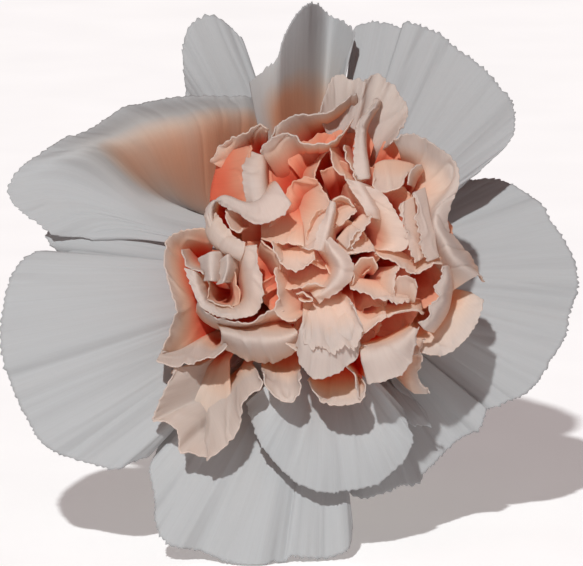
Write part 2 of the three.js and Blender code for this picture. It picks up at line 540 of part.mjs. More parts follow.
    hem: [
      [-2.9, -7.9, 2.2], [-2, -9.2, 2.8], [-0.7, -8.8, 3], [0.8, -10, 3.2], [2.2, -9.1, 3],
      [3.6, -9.4, 2.8], [4.3, -7.3, 2.2], [3.8, -4.9, 1.6], [3.1, -3.4, 1]
    ],
  },
  {
    name: 'shell', arch: 0,
    feet: [[-14, -6.1, -3], [-12.3, -6.4, -3.5], [-10.4, -6.4, -4], [-8.7, -6.1, -4], [-7.4, -6.1, -4],
    [-5.9, -6.2, -4], [-4.4, -6.5, -3.5]],
    hem: [
      [-13.4, -9, -2.6], [-12.1, -10, -2.6], [-10.3, -10.9, -2.6], [-8.2, -11.2, -2.6],
      [-5.9, -10.9, -2.5], [-4.3, -10.1, -2.3], [-3.4, -9.1, -2]
    ],
    folds: [
      [
        [-13.3, -7.3, 0.2], [-11.7, -7.8, 0.8], [-10, -8.2, 1.1], [-8.2, -8.3, 1.3], [-6.4, -8.2, 1.3],
        [-4.8, -7.8, 1.1], [-3.6, -7.2, 0.6],
      ],
    ],
  },
  {
    name: 'low_shelf', arch: 0,
    feet: [[-1.4, -12.6, -7], [-0.5, -12.7, -7], [0.4, -12.6, -7], [1.4, -12.3, -7], [2.3, -12.1, -7],
    [3.2, -12.1, -7], [3.8, -12.3, -7], [4, -12.6, -6]],
    hem: [
      [-2.5, -13.5, -1], [-1.2, -15.2, 0.2], [-0.1, -16.4, 0.8], [1.4, -16.6, 1], [3.2, -16.5, 1],
      [4.5, -16, 0.8], [5.1, -14.7, 0.4], [4.8, -13.4, 0]
    ],
  },
  {
    name: 'right_low', arch: 0,
    feet: [[4.9, -8.6, -8], [5.9, -8.2, -8], [6.9, -7.7, -8], [7.9, -7.2, -8], [8.8, -6.6, -8],
    [9.6, -6.2, -8], [10.3, -5.9, -8]],
    hem: [
      [5.3, -13.7, 1.4], [6.8, -13.5, 2.4], [8.2, -13.1, 2.6], [9.9, -12.3, 2.6], [10.9, -10.5, 2],
      [11.3, -8.6, 1.2], [11.6, -6.6, 0.4]
    ],
    folds: [
      [
        [4.3, -9.4, 0.5], [5.5, -9.5, 1], [6.8, -9.4, 1.2], [8.2, -8.8, 1.3], [9.2, -8.3, 1.2],
        [10.1, -7.7, 0.9], [11.1, -6.8, 0.4],
      ],
    ],
  },
  {
    name: 'far_right', arch: 0,
    feet: [[11.4, -8.2, -4], [12.6, -7.9, -4.5], [13.8, -7.4, -4.5], [15, -6.5, -4.5],
    [16, -5.3, -4.5], [16.9, -4.3, -4.5], [17.8, -3.2, -4.5], [18.6, -2.2, -4]],
    hem: [
      [11.1, -10, -2.5], [12.3, -9.8, -2], [13.9, -10.1, -1.5], [15.6, -10, -1.5], [16.9, -9.1, -1.5],
      [18.3, -7.7, -1.5], [19.5, -5.6, -2], [20.2, -3.2, -2.5]
    ],
  },
  {
    name: 'strip_low', arch: 0,
    feet: [[11.2, -8.2, -5], [10.9, -9.4, -5], [10.7, -10.5, -5], [10.7, -11.7, -5], [10.7, -12.9, -5],
    [10.8, -14, -5], [11.4, -15.2, -5]],
    hem: [
      [12.3, -8.1, -2], [11.8, -9.8, -2], [12.2, -10.5, -2], [11.8, -11.6, -2.2], [11.7, -12.5, -2.4],
      [12.3, -13.7, -2.6], [13.4, -15.1, -3]
    ],
  },
  {
    name: 'cluster_top', arch: 0,
    feet: [[-21.1, -9.8, -2], [-19.2, -9.8, -3], [-17.7, -9.2, -4], [-16.2, -8.7, -5], [-15, -9.1, -6],
    [-13.9, -9.1, -7], [-12.9, -8.1, -6]],
    hem: [
      [-21.7, -11.1, 1.5], [-19.1, -11.7, 2.2], [-17.6, -11.6, 2.4], [-16.1, -11.4, 2.4],
      [-14.6, -10.9, 2.2], [-13.4, -10.1, 2], [-12.5, -9.1, 1]
    ],
  },
  {
    name: 'cluster_left', arch: 0,
    feet: [[-16, -11.6, -3], [-15.9, -12.9, -3], [-15.6, -14.2, -3], [-15.2, -15.5, -3],
    [-14.8, -16.8, -3], [-14.6, -17.8, -3], [-14.3, -18.9, -3], [-13.9, -19.6, -3], [-13.4, -20.4, -3]],
    hem: [
      [-19.1, -11.8, 1.4], [-20, -13.7, 3], [-21.1, -15.7, 3], [-22.1, -18.6, 2.4], [-20.4, -18.6, 3],
      [-18.6, -20.3, 3.4], [-18.9, -22.4, 3.4], [-16.9, -23, 3.4], [-15.2, -23.7, 3]
    ],
  },
  {
    name: 'cluster_right', arch: 0,
    feet: [[-15.6, -18.9, -2.5], [-15.3, -17.3, -2.5], [-14.8, -16.2, -2.5], [-13.8, -15.3, -3.5],
    [-12.6, -14.4, -5], [-11.6, -13.3, -6], [-10.7, -11.8, -7], [-9.4, -11.3, -7]],
    hem: [
      [-15.2, -23.8, 3.4], [-13.4, -22.6, 4.2], [-11.7, -21.2, 4.4], [-10.8, -18.7, 4.2],
      [-10.5, -16.6, 3.8], [-9.5, -15.1, 3.2], [-8.2, -14.3, 2.4], [-8.2, -12.9, 1.2]
    ],
  },
  {
    name: 'cluster_low', arch: 0,
    feet: [[-8.2, -11.6, -6], [-7.4, -11.3, -6.5], [-6.5, -11.3, -7], [-5.7, -11.3, -7],
    [-4.8, -11.3, -7], [-4, -11.3, -6.5], [-3.2, -11.6, -5]],
    hem: [
      [-8.2, -12.6, 1], [-7.7, -13.9, 1.6], [-6.8, -15.2, 2], [-5.6, -16.1, 2.2], [-4.3, -16.2, 2],
      [-3.4, -15, 1.6], [-3.1, -12.9, 1]
    ],
  },
  {
    name: 'cluster_middle', arch: 0,
    feet: [[-16.5, -11.2, -5], [-15.3, -11.6, -5], [-14.4, -11.8, -5], [-13.7, -11.6, -5],
    [-12.3, -10.8, -5]],
    hem: [
      [-19.8, -12.3, -2.2], [-19.1, -15.2, -2.2], [-17.4, -17.7, -2], [-15, -19.2, -2],
      [-12.1, -16.5, -2]
    ],
  },
];

const GUARD_STYLE = { rootRing: 4.2, hemStep: 3.1, tooth: 0.4, wave: 0.35 };
const HEART_STYLE = { rootRing: 2.4, hemStep: 2.4, tooth: 0.25, wave: 0.15 };
const LEAST_COLUMNS = 3;
const FANNED_ROWS = 4;
const ROOT_DEPTH = 4; // the claws end this far below the throat, inside their bundle
const ROOT_WIDTH = 3.6;
const FOOT_SHARE = 0.22; // how far towards the hem a fan still stands at its foot's height
const ARCH_SHARE = 0.62; // and where it arches highest
const ARCH_RISE = 0.9;
const WAVES = 3; // along a hem
const GOLDEN_ANGLE = 2.4; // turns the waves from one petal to the next

// The block below the surface it lies on, [x, y, z], which trims the bloom flat.
const TABLE = [300, 300, 40];

// The closed heart behind the folds.
const CORE = { depth: 7.5, radius: 14, shares: [1, 0.7, 0.4, 0], footRadius: 4, foot: -1, segments: 20 };

// The bundle of claws, which the calyx holds, as [radius, height] along the flower's axis.
const CLAW_BUNDLE = [[0, -12], [4.2, -12], [5, -7], [5.2, -3], [4.8, 0], [3, 2.5], [0, 3.5]];

const CALYX = {
  length: 32, // from the throat to its base
  toothHeight: 2.8,
  teeth: 5,
  rimDepth: 3, // the teeth are drawn up out of this much of the rim
  wall: 0.9,
  lip: 2, // height of the pocket's straight part
  profile: [[0, -32], [2.6, -32], [4.4, -29], [5.4, -22], [6, -14], [6.4, -7.5]],
  segments: 40,
};
const BRACTS = {
  teeth: 4,
  toothHeight: 6.5,
  rimDepth: 4,
  segments: 32,
  inner: [[2.9, -32.6], [4.9, -29], [6.25, -23]],
  outer: [[6.95, -23], [6.5, -27], [5.5, -30.4], [3.5, -33.6]],
};

// The stem's middle line from the throat, after the calyx base: gently bent, down to the surface.
const STEM_RADIUS = 2.1;
const STEM_SIDES = 10;
const STEM_STEPS = 34;
const STEM_LEAD = 12; // it leaves the calyx straight for this far
const STEM_BENDS = [[-6.6, 55, -19.7], [-4.5, 85, -27.5], [3, 113, -33.33]];
const STEM_JOINTS = [0.36, 0.74]; // along the stem, 0 at the calyx, where leaf pairs grow
const JOINT_SWELLING = 0.8;
const JOINT_LENGTH = 0.035;

// Leaf pairs: each blade's middle line as [outwards, along the stem to the bloom, up] from its joint.
const LEAF_WIDTH = 4.6;
const LEAF_CHANNEL = 0.7; // depth of the groove along a blade
const LEAF_TAPER = { tip: 0.12, power: 2.6 };
const LEAF_COLUMNS = 4;
const LEAF_ROWS = 14;
const LEAF_SLEEVE = { length: 5, wall: 0.9, topWall: 0.7, behindJoint: 1.5, sides: 20 };
const LEAF_PAIRS = [
  {
    joint: 0,
    right: [[2.9, 1, 0.3], [4.4, 10, 1], [8, 22, 2], [14, 33, 2.5], [20, 41, 0.5]],
    left: [[2.9, 1, -0.3], [4.6, 11, 0.6], [9, 23, 1.6], [16, 34, 3], [24, 41, 2]],
  },
  {
    joint: 1,
    right: [[2.9, 1, 0.3], [4.6, 9, 2.5], [9, 20, 5], [16, 30, 6], [24, 36, 3]],
    left: [[2.9, 1, -0.3], [5, 9, 0.6], [10, 19, -0.5], [17, 29, -5], [24, 38, -10.5]],
  },
];

// Colours
const WHITE_PINK = { color: 0xe3d2ca, roughness: 0.7, metalness: 0 };
const GREY_GREEN = { color: 0x7f9a78, roughness: 0.6, metalness: 0 };
const PALE_GREEN = { color: 0x93aa7c, roughness: 0.6, metalness: 0 };
const BLUE_GREEN = { color: 0x748f7c, roughness: 0.65, metalness: 0 };

const wasm = await Module();
wasm.setup();

// ---- Solids from surfaces ----

function closedGeometry(positions, indices) {
  const geometry = new THREE.BufferGeometry();
  geometry.setAttribute('position', new THREE.Float32BufferAttribute(positions, 3));
  geometry.setIndex(indices);
  return geometry;
}

// A thin blade on both sides of the surface pointAt(u, v), with u and v from 0 to 1.
// Both faces are split into triangles alike, so a waved blade never crosses itself.
function blade(pointAt, columns, rows, thickness) {
  const stride = columns + 1;
  const middle = [];
  for (let j = 0; j <= rows; j += 1) {
    for (let i = 0; i <= columns; i += 1) {
      middle.push(pointAt(i / columns, j / rows));
    }
  }
  const at = (i, j) => j * stride + i;
  const normalAt = (i, j) => {
    const left = middle[at(Math.max(i - 1, 0), j)];
    const right = middle[at(Math.min(i + 1, columns), j)];
    const below = middle[at(i, Math.max(j - 1, 0))];
    const above = middle[at(i, Math.min(j + 1, rows))];
    return right.clone().sub(left).cross(above.clone().sub(below)).normalize();
  };

  const positions = [];
  for (const side of [0.5, -0.5]) {
    for (let j = 0; j <= rows; j += 1) {
      for (let i = 0; i <= columns; i += 1) {
        const point = middle[at(i, j)].clone().addScaledVector(normalAt(i, j), side * thickness);
        positions.push(point.x, point.y, point.z);
      }
    }
  }

  const back = stride * (rows + 1);
  const indices = [];
  for (let j = 0; j < rows; j += 1) {
    for (let i = 0; i < columns; i += 1) {
      const [a, b, c, d] = [at(i, j), at(i + 1, j), at(i + 1, j + 1), at(i, j + 1)];
      indices.push(a, b, c, a, c, d);
      indices.push(back + a, back + c, back + b, back + a, back + d, back + c);
    }
  }
  const rim = [];
  for (let i = 0; i < columns; i += 1) rim.push(at(i, 0));
  for (let j = 0; j < rows; j += 1) rim.push(at(columns, j));
  for (let i = columns; i > 0; i -= 1) rim.push(at(i, rows));
  for (let j = rows; j > 0; j -= 1) rim.push(at(0, j));
  rim.forEach((p, k) => {
    const q = rim[(k + 1) % rim.length];
    indices.push(q, p, back + p, q, back + p, back + q);
  });
  return closedGeometry(positions, indices);
}

// Rings of points one after another, closed by a fan at each end.
function loft(rings) {
  const sides = rings[0].length;
  const positions = rings.flat().flatMap((point) => [point.x, point.y, point.z]);
  const indices = [];
  for (let j = 0; j < rings.length - 1; j += 1) {
    for (let i = 0; i < sides; i += 1) {
      const next = (i + 1) % sides;
      const [a, b] = [j * sides + i, j * sides + next];
      const [c, d] = [b + sides, a + sides];
      indices.push(a, b, c, a, c, d);
    }
  }
  const last = (rings.length - 1) * sides;
  for (let i = 1; i < sides - 1; i += 1) {
    indices.push(0, i + 1, i);
    indices.push(last, last + i, last + i + 1);
  }
  return closedGeometry(positions, indices);
}

function toSolid(geometry) {
  const bare = geometry.clone();
  bare.deleteAttribute('normal');
  bare.deleteAttribute('uv');
  const merged = mergeVertices(bare, 1e-4);
  return new wasm.Manifold(new wasm.Mesh({
    numProp: 3,
    vertProperties: new Float32Array(merged.attributes.position.array),
    triVerts: new Uint32Array(merged.index.array),
  }));
}

// The largest body of a joined solid: loose scraps and sealed hollows are left behind.
function toGeometry(solid) {
  const bodies = solid.decompose();
  bodies.sort((a, b) => b.volume() - a.volume());
  const mesh = bodies[0].getMesh();
  const positions = [];
  for (let k = 0; k < mesh.numVert; k += 1) {
    const first = k * mesh.numProp;
    positions.push(...mesh.vertProperties.subarray(first, first + 3));
  }
  const geometry = closedGeometry(positions, Array.from(mesh.triVerts));
  return bodies.length === 1 ? geometry : toGeometry(toSolid(geometry));
}

// Joins solids and clears the slivers that their crossings leave.
function joined(geometries) {
  return wasm.Manifold.union(geometries.map(toSolid)).asOriginal().simplify(SLIVER);
}

function named(name, geometry, finish) {
  geometry.computeVertexNormals();
  const mesh = new THREE.Mesh(geometry, new THREE.MeshStandardMaterial(finish));
  mesh.name = name;
  return mesh;
}

// ---- Bloom ----

function guardLevel(x, y) {
  return GUARD_SLOPE.x * x + GUARD_SLOPE.y * y;
}

function domeLevel(x, y) {
  const up = y - DOME.y;
  const reach = Math.hypot(x - DOME.x, up > 0 ? up : up * DOME.droop) / DOME.radius;
  const fall = Math.min(reach, 1) ** 2;
  return DOME.height - (DOME.height - DOME.rimHeight) * fall;
}

function smooth(points) {
  return new THREE.CatmullRomCurve3(points, false, 'catmullrom');
}

// For each column, the curve of a plain petal from its root over its arch to its hem.
function fannedSections(outline, hem) {
  const columns = hem.length - 1;
  const feet = outline.feet.map((foot) => new THREE.Vector3(...foot));
  const footShare = feet.length === 1 ? FOOT_SHARE : 0;
  return hem.map((edge, column) => (root) => {
    const foot = feet.length === 1 ? feet[0] : smooth(feet).getPoint(column / columns);
    const low = foot.clone().lerp(edge, footShare).setZ(foot.z);
    const high = foot.clone().lerp(edge, ARCH_SHARE);
    high.z = foot.z + (edge.z - foot.z) * ARCH_RISE + outline.arch;
    const curve = new THREE.CubicBezierCurve3(root, low, high, edge);
    return Array.from({ length: FANNED_ROWS + 1 }, (_, row) => curve.getPoint(row / FANNED_ROWS));
  });
}

// For each column, the points of a folded petal: its claw, then through its folds to its hem.
function foldedSections(outline, hem, onLevel) {
  const columns = hem.length - 1;
  const spaced = (line) => smooth(onLevel(line)).getSpacedPoints(columns);
  const footLine = spaced(outline.feet);
  let folds = (outline.folds ?? []).map(spaced).reverse();
  if (folds.length === 0) {
    folds = [footLine.map((foot, k) => foot.clone().lerp(hem[k], ARCH_SHARE))];
    folds[0].forEach((point) => point.addScaledVector(UP, outline.arch));
  }
  return hem.map((edge, column) => (root) => {
    const foot = footLine[column];
    return [root, foot, ...folds.map((fold) => fold[column]), edge];
  });
}

function petal(outline, index, level, style) {
  const onLevel = (line) => line.map(([x, y, lift]) => new THREE.Vector3(x, y, level(x, y) + lift));
  const hemPoints = onLevel(outline.hem);
  const hemCurve = smooth(hemPoints);
  const columns = Math.max(LEAST_COLUMNS, Math.round(hemCurve.getLength() / style.hemStep));
  const hem = hemCurve.getSpacedPoints(columns);
  const folded = style === HEART_STYLE || outline.folds !== undefined;
  const sections = folded ? foldedSections(outline, hem, onLevel) : fannedSections(outline, hem);

  const middle = hemPoints.reduce((sum, point) => sum.add(point), new THREE.Vector3());
  const outwards = new THREE.Vector3(middle.x, middle.y, 0).normalize();
  const sideways = new THREE.Vector3(-outwards.y, outwards.x, 0);
  if (hemPoints.at(-1).clone().sub(hem[0]).dot(sideways) < 0) sideways.negate();
  const rootMiddle = FLOWER_AXIS.clone().multiplyScalar(-ROOT_DEPTH);
  rootMiddle.addScaledVector(outwards, style.rootRing);
  const phase = index * GOLDEN_ANGLE;

  const lines = sections.map((section, column) => {
    const root = rootMiddle.clone();
    root.addScaledVector(sideways, (column / columns - 0.5) * ROOT_WIDTH);
    root.z += guardLevel(root.x, root.y);
    const line = section(root);
    const rows = line.length - 1;
    const outward = line[rows].clone().sub(line[rows - 1]).normalize();
    const tooth = column % 2 === 0 ? style.tooth : -style.tooth;
    line[rows] = line[rows].clone().addScaledVector(outward, tooth);
    const wave = style.wave * Math.sin((2 * Math.PI * WAVES * column) / columns + phase);
    return line.map((point, row) => point.clone().addScaledVector(UP, wave * (row / rows) ** 2));
  });
  const rows = lines[0].length - 1;
  const pointAt = (u, v) => lines[Math.round(u * columns)][Math.round(v * rows)];
  return blade(pointAt, columns, rows, PETAL_THICKNESS);
}

function coreGeometry() {
  const top = CORE.shares.map((share) => {
    const radius = CORE.radius * share;
    return new THREE.Vector2(radius, domeLevel(DOME.x + radius, DOME.y) - CORE.depth);
  });
  const foot = [new THREE.Vector2(0, CORE.foot), new THREE.Vector2(CORE.footRadius, CORE.foot)];
  const core = new THREE.LatheGeometry([...foot, ...top], CORE.segments);
  core.rotateX(Math.PI / 2);
  return core.translate(DOME.x, DOME.y, 0);
}

function bloomSolid(face) {
  const points = CLAW_BUNDLE.map(([r, h]) => new THREE.Vector2(r, h));
  const claws = new THREE.LatheGeometry(points, CORE.segments);
  claws.rotateX(Math.PI / 2);
  claws.applyQuaternion(new THREE.Quaternion().setFromUnitVectors(UP, FLOWER_AXIS));
  const petals = [
    ...GUARD_PETALS.map((outline, k) => petal(outline, k, guardLevel, GUARD_STYLE)),
    ...HEART_PETALS.map((outline, k) => petal(outline, k, domeLevel, HEART_STYLE)),
  ];
  const table = new THREE.BoxGeometry(...TABLE).translate(0, 0, -TABLE[2] / 2);
  table.applyMatrix4(face.matrixWorld.clone().invert());
  const whole = joined([claws, coreGeometry(), ...petals]);
  return whole.subtract(toSolid(table)).asOriginal().simplify(SLIVER);
}

// ---- Calyx and bracts, turned about the flower's axis ----

const TOOTH_POINT = 1.4; // above 1, the teeth are pointed and the bays between them round

// Turns a profile of [radius, height] about +Z and draws its rim up into pointed teeth.
function toothedCup(profile, { segments, teeth, toothHeight, rimDepth }, rim) {
  const cup = new THREE.LatheGeometry(profile.map(([r, h]) => new THREE.Vector2(r, h)), segments);
  cup.rotateX(Math.PI / 2);
  const place = cup.attributes.position;
  for (let k = 0; k < place.count; k += 1) {
    const turn = Math.atan2(place.getY(k), place.getX(k)) / (2 * Math.PI);
    const along = Math.abs(((turn * teeth) % 1 + 1) % 1 - 0.5) * 2;
    const share = THREE.MathUtils.smoothstep(place.getZ(k), rim - rimDepth, rim);
    place.setZ(k, place.getZ(k) + share * along ** TOOTH_POINT * toothHeight);
  }
  return cup;
}

function calyxGeometry() {
  const outside = CALYX.profile;
  const [mouthRadius, mouthHeight] = outside.at(-1);
  const pocketRadius = mouthRadius - CALYX.wall;
  const pocketFloor = CLAW_BUNDLE[0][1] - GAP;
  const inside = [
    [pocketRadius, mouthHeight],
    [pocketRadius - LOOSE, mouthHeight - CALYX.lip],
    [CLAW_BUNDLE[1][0] + GAP + LOOSE, pocketFloor],
    [0, pocketFloor],
  ];
  return toothedCup([...outside, ...inside], CALYX, mouthHeight);
}

function bractGeometry() {
  const profile = [...BRACTS.outer].reverse().concat([...BRACTS.inner].reverse());
  profile.push(profile[0]);
  return toothedCup(profile, BRACTS, BRACTS.outer[0][1]);
}

// ---- Stem and leaves ----

function stemCurve(start, direction) {
  const bends = STEM_BENDS.map(([x, y, z]) => new THREE.Vector3(x, y, z).add(THROAT));
  const lead = start.clone().addScaledVector(direction, STEM_LEAD);
  return smooth([start, lead, ...bends]);
}

function ringAround(centre, direction, radius, sides) {
  const across = UP.clone().cross(direction).normalize();
  const above = direction.clone().cross(across).normalize();
  return Array.from({ length: sides }, (_, k) => {
    const angle = (2 * Math.PI * k) / sides;
    return centre.clone()
      .addScaledVector(across, radius * Math.cos(angle))
      .addScaledVector(above, radius * Math.sin(angle));
  });
}

function stemGeometry(curve) {
  const rings = [];
  for (let k = 0; k <= STEM_STEPS; k += 1) {
    const t = k / STEM_STEPS;
    const swelling = STEM_JOINTS.reduce((sum, joint) => {
      const away = (t - joint) / JOINT_LENGTH;
      return sum + JOINT_SWELLING * Math.exp(-away * away);
    }, 0);
    const centre = curve.getPointAt(t);
    rings.push(ringAround(centre, curve.getTangentAt(t), STEM_RADIUS + swelling, STEM_SIDES));
  }
  return loft(rings);
}

// A narrow grooved blade, broad side to the stem, whose back faces outwards.
function leafBlade(line, outwards) {
  const middle = smooth(line);
  function pointAt(u, v) {
    const along = middle.getTangentAt(v);
    const across = along.clone().cross(outwards).normalize();
    const back = across.clone().cross(along);
    const full = Math.sqrt(Math.max(0, 1 - v ** LEAF_TAPER.power));
    const taper = LEAF_TAPER.tip + (1 - LEAF_TAPER.tip) * full;
    const side = u - 0.5;
    return middle.getPointAt(v)
      .addScaledVector(across, LEAF_WIDTH * taper * side)
      .addScaledVector(back, -LEAF_CHANNEL * taper * 4 * side * side);
  }
  return blade(pointAt, LEAF_COLUMNS, LEAF_ROWS, LEAF_THICKNESS);
}

function leafPairGeometry(pair, curve) {
  const t = STEM_JOINTS[pair.joint] - JOINT_LENGTH * LEAF_SLEEVE.behindJoint;
  const centre = curve.getPointAt(t);
  const towardsBloom = curve.getTangentAt(t).negate();
  const outwards = towardsBloom.clone().cross(UP).normalize();
  const above = outwards.clone().cross(towardsBloom).normalize();
  const place = (side) => ([out, along, up]) => centre.clone()
    .addScaledVector(outwards, side * out)
    .addScaledVector(towardsBloom, along)
    .addScaledVector(above, up);

  const bore = STEM_RADIUS + GAP + LOOSE;
  const sleeve = new THREE.LatheGeometry([
    new THREE.Vector2(bore, 0),
    new THREE.Vector2(bore + LEAF_SLEEVE.wall, 0),
    new THREE.Vector2(bore + LEAF_SLEEVE.topWall, LEAF_SLEEVE.length),
    new THREE.Vector2(bore, LEAF_SLEEVE.length),
    new THREE.Vector2(bore, 0),
  ], LEAF_SLEEVE.sides);
  sleeve.applyQuaternion(
    new THREE.Quaternion().setFromUnitVectors(new THREE.Vector3(0, 1, 0), towardsBloom),
  );
  sleeve.translate(centre.x, centre.y, centre.z);
  return toGeometry(joined([
    sleeve,
    leafBlade(pair.right.map(place(1)), outwards),
    leafBlade(pair.left.map(place(-1)), outwards.clone().negate()),
  ]));
}

// ---- Assembly ----

const flower = new THREE.Group();
const face = new THREE.Group();
face.position.copy(THROAT);
face.rotation.x = Math.PI / 2 - FACE_ELEVATION;
flower.add(face);
const axis = new THREE.Group();
axis.quaternion.setFromUnitVectors(UP, FLOWER_AXIS);
face.add(axis);
flower.updateMatrixWorld(true);

face.add(named('bloom', toGeometry(bloomSolid(face)), WHITE_PINK));
axis.add(named('calyx', calyxGeometry(), GREY_GREEN));
axis.add(named('bracts', bractGeometry(), PALE_GREEN));

const calyxBase = axis.localToWorld(new THREE.Vector3(0, 0, -CALYX.length - GAP));
const backwards = new THREE.Vector3(0, 0, -1).transformDirection(axis.matrixWorld);
const stemLine = stemCurve(calyxBase, backwards);
flower.add(named('stem', stemGeometry(stemLine), GREY_GREEN));
flower.add(named('leaf_pair_upper', leafPairGeometry(LEAF_PAIRS[0], stemLine), BLUE_GREEN));
flower.add(named('leaf_pair_lower', leafPairGeometry(LEAF_PAIRS[1], stemLine), BLUE_GREEN));

export default flower;
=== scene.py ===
"""A cut carnation that lies on its side on a pale table.

The CAD frame gives the solids. Every petal of the bloom is made again here as a thin toothed blade,
and the calyx, bracts, stem and leaves get their nerves, joints, keels and grooves.
"""
import math
import random

import bmesh
import bpy
from mathutils import Matrix, Vector, noise


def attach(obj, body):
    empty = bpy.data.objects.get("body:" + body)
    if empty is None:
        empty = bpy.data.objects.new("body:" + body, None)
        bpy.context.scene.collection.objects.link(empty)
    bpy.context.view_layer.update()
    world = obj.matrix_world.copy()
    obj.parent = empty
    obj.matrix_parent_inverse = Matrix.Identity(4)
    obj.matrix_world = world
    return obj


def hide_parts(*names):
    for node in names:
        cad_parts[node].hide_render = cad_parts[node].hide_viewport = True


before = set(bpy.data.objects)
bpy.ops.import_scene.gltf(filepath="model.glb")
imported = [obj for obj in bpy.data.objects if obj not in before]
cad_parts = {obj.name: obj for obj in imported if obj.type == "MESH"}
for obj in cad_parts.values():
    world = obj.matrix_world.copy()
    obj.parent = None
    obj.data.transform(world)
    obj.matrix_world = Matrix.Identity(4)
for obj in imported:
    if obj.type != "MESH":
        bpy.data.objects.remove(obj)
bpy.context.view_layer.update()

MM = 0.001
UP = Vector((0.0, 0.0, 1.0))

# ---- Driving dimensions, in millimetres ----

THROAT = Vector((4.4, -44.4, 35.3))  # where the petals spread out of the calyx
FACE_ELEVATION = math.radians(10)  # the bloom's face looks this far above level
FLOWER_AXIS = Vector((0.12, 0.17, 0.98)).normalized()  # in the face's own frame

# The face's own frame: x right, y up and z out of the bloom, from the throat.
# The guard petals spread on a plane square to the flower's axis, and the crumpled heart is a dome
# that droops less at the bottom.
GUARD_SLOPE_X, GUARD_SLOPE_Y = -0.12, -0.17
DOME_X, DOME_Y, DOME_RADIUS = 2.6, 4.6, 24.0
DOME_HEIGHT, DOME_RIM_HEIGHT = 24.0, 10.0
DOME_DROOP = 0.8

FACE_TURN = Matrix.Rotation(math.pi / 2 - FACE_ELEVATION, 4, "X")
FACE = Matrix.Translation(THROAT) @ FACE_TURN
AXIS = FACE @ UP.rotation_difference(FLOWER_AXIS).to_matrix().to_4x4()
TO_METRES = Matrix.Scale(MM, 4)

PETAL_WALL = 0.17
ROOT_DEPTH = 4.0  # the claws end this far below the throat
ROOT_WIDTH = 3.6
FOOT_SHARE = 0.22  # how far towards the hem a fan still stands at its foot's height
ARCH_SHARE = 0.62  # and where it arches highest
ARCH_RISE = 0.9
CLAW_SHARE = 0.16  # the share of a heart petal's rows that its hidden claw takes
CLAW_BEND = 3.0  # how far before its foot a claw turns towards the fold
# The heart reddens with depth below the dome: partly the petals' own deeper colour towards their feet,
# partly painted shade and red bounce light in its pockets.
FLUSH_AT_DOME, FLUSH_AND_SHADE_DEPTH = 0.8, 9.0  # the heart's paleness at the dome, and how fast it reddens below
CLAW_PALENESS, CLAW_DEPTHS = 0.65, (9.0, 14.0)  # claws pale again between these depths
OUTER_PALENESS = 0.3  # how much paler the heart's outer petals are
# Hems a touch paler: painted light, as if shining through the thin edges.
HEM_PALENESS = 0.02
CLOUD_PALENESS = 0.06
# A guard petal's warm tint towards its foot is painted shade: the warm, dim bounce light near the heart,
# painted on.
GUARD_WARM_SHADE = 0.4  # how far a guard petal takes the warm tint at its foot
WARM_SHADE_REACH = (12.0, 24.0)  # the warm tint of a guard petal's foot fades out between these radii
# Painted shade on guard petals: a warm brown band where a fold turns away from the light.
SHADE_BAND_SPREAD = 0.25  # how far up and down a blade a blush spreads
SHADE_BAND_FADE = 0.2  # and how softly it starts along the hem
HEM_STEP = 0.24  # between two vertices along a hem
TOOTH_REACH = 1.3  # the teeth are drawn out of this width of the hem
TOOTH_WIDTHS, TOOTH_HEIGHTS = (0.35, 1.3), (0.1, 1.0)  # heights are shares of a petal's tooth
TOOTH_PEAKS = (0.35, 0.75)  # where a tooth has its tip, as shares of its width
NOTCH_DEPTH = 0.35
FINE_STEPS = 400  # along a curve, to space its points evenly

# Unevenness over a blade: (frequency across, frequency up, shift of the seed).
BROAD_WAVE = (0.16, 0.9, 0)
SMALL_WAVE = (0.42, 1.6, 7)
PLEATS = (0.75, 0.5, 13)
CRINKLES = (1.1, 2.0, 3)
DENTS = (0.22, 1.1, 31)
CLOUDS = (0.3, 3, 21)
BROAD_SHARE, SMALL_SHARE, DENT_SHARPNESS = 2.4, 0.9, 6
TABLE_CLEARANCE = 0.12

# The bundle of claws, which the calyx holds, as (radius, height) along the flower's axis.
CLAW_BUNDLE = [(0.0, -12.0), (4.2, -12.0), (5.0, -7.0), (5.2, -3.0), (4.8, 0.0), (3.0, 2.5), (0.0, 3.5)]
CLAWS = 23

CALYX_LENGTH = 32.0  # from the throat to its base
CALYX_PROFILE = [(0.0, -32.0), (2.6, -32.0), (4.4, -29.0), (5.4, -22.0), (6.0, -14.0), (6.4, -7.5)]
CALYX_WALL = 0.9
CALYX_TEETH = 5
CALYX_TOOTH_HEIGHT = 2.8
CALYX_NERVES = 35
CALYX_NERVE_HEIGHT = 0.09

BRACT_COUNT = 4
BRACT_HALF_TURN = math.radians(52)
BRACT_SHOULDER, BRACT_TIP = -23.0, -16.8  # heights along the flower's axis
BRACT_LINE = [(3.2, -32.8), (5.2, -30.0), (6.2, -26.5), (6.7, -23.0), (6.75, -19.0), (6.7, -16.8)]

# The stem's middle line from the throat, after the calyx base: gently bent, down to the surface.
STEM_RADIUS = 2.1
STEM_LEAD = 12.0  # it leaves the calyx straight for this far
STEM_BENDS = [(-6.6, 55.0, -19.7), (-4.5, 85.0, -27.5), (3.0, 113.0, -33.33)]
STEM_JOINTS = (0.36, 0.74)  # along the stem, 0 at the calyx, where leaf pairs grow
JOINT_SWELLING = 0.8
JOINT_LENGTH = 0.035
GAP = 0.3

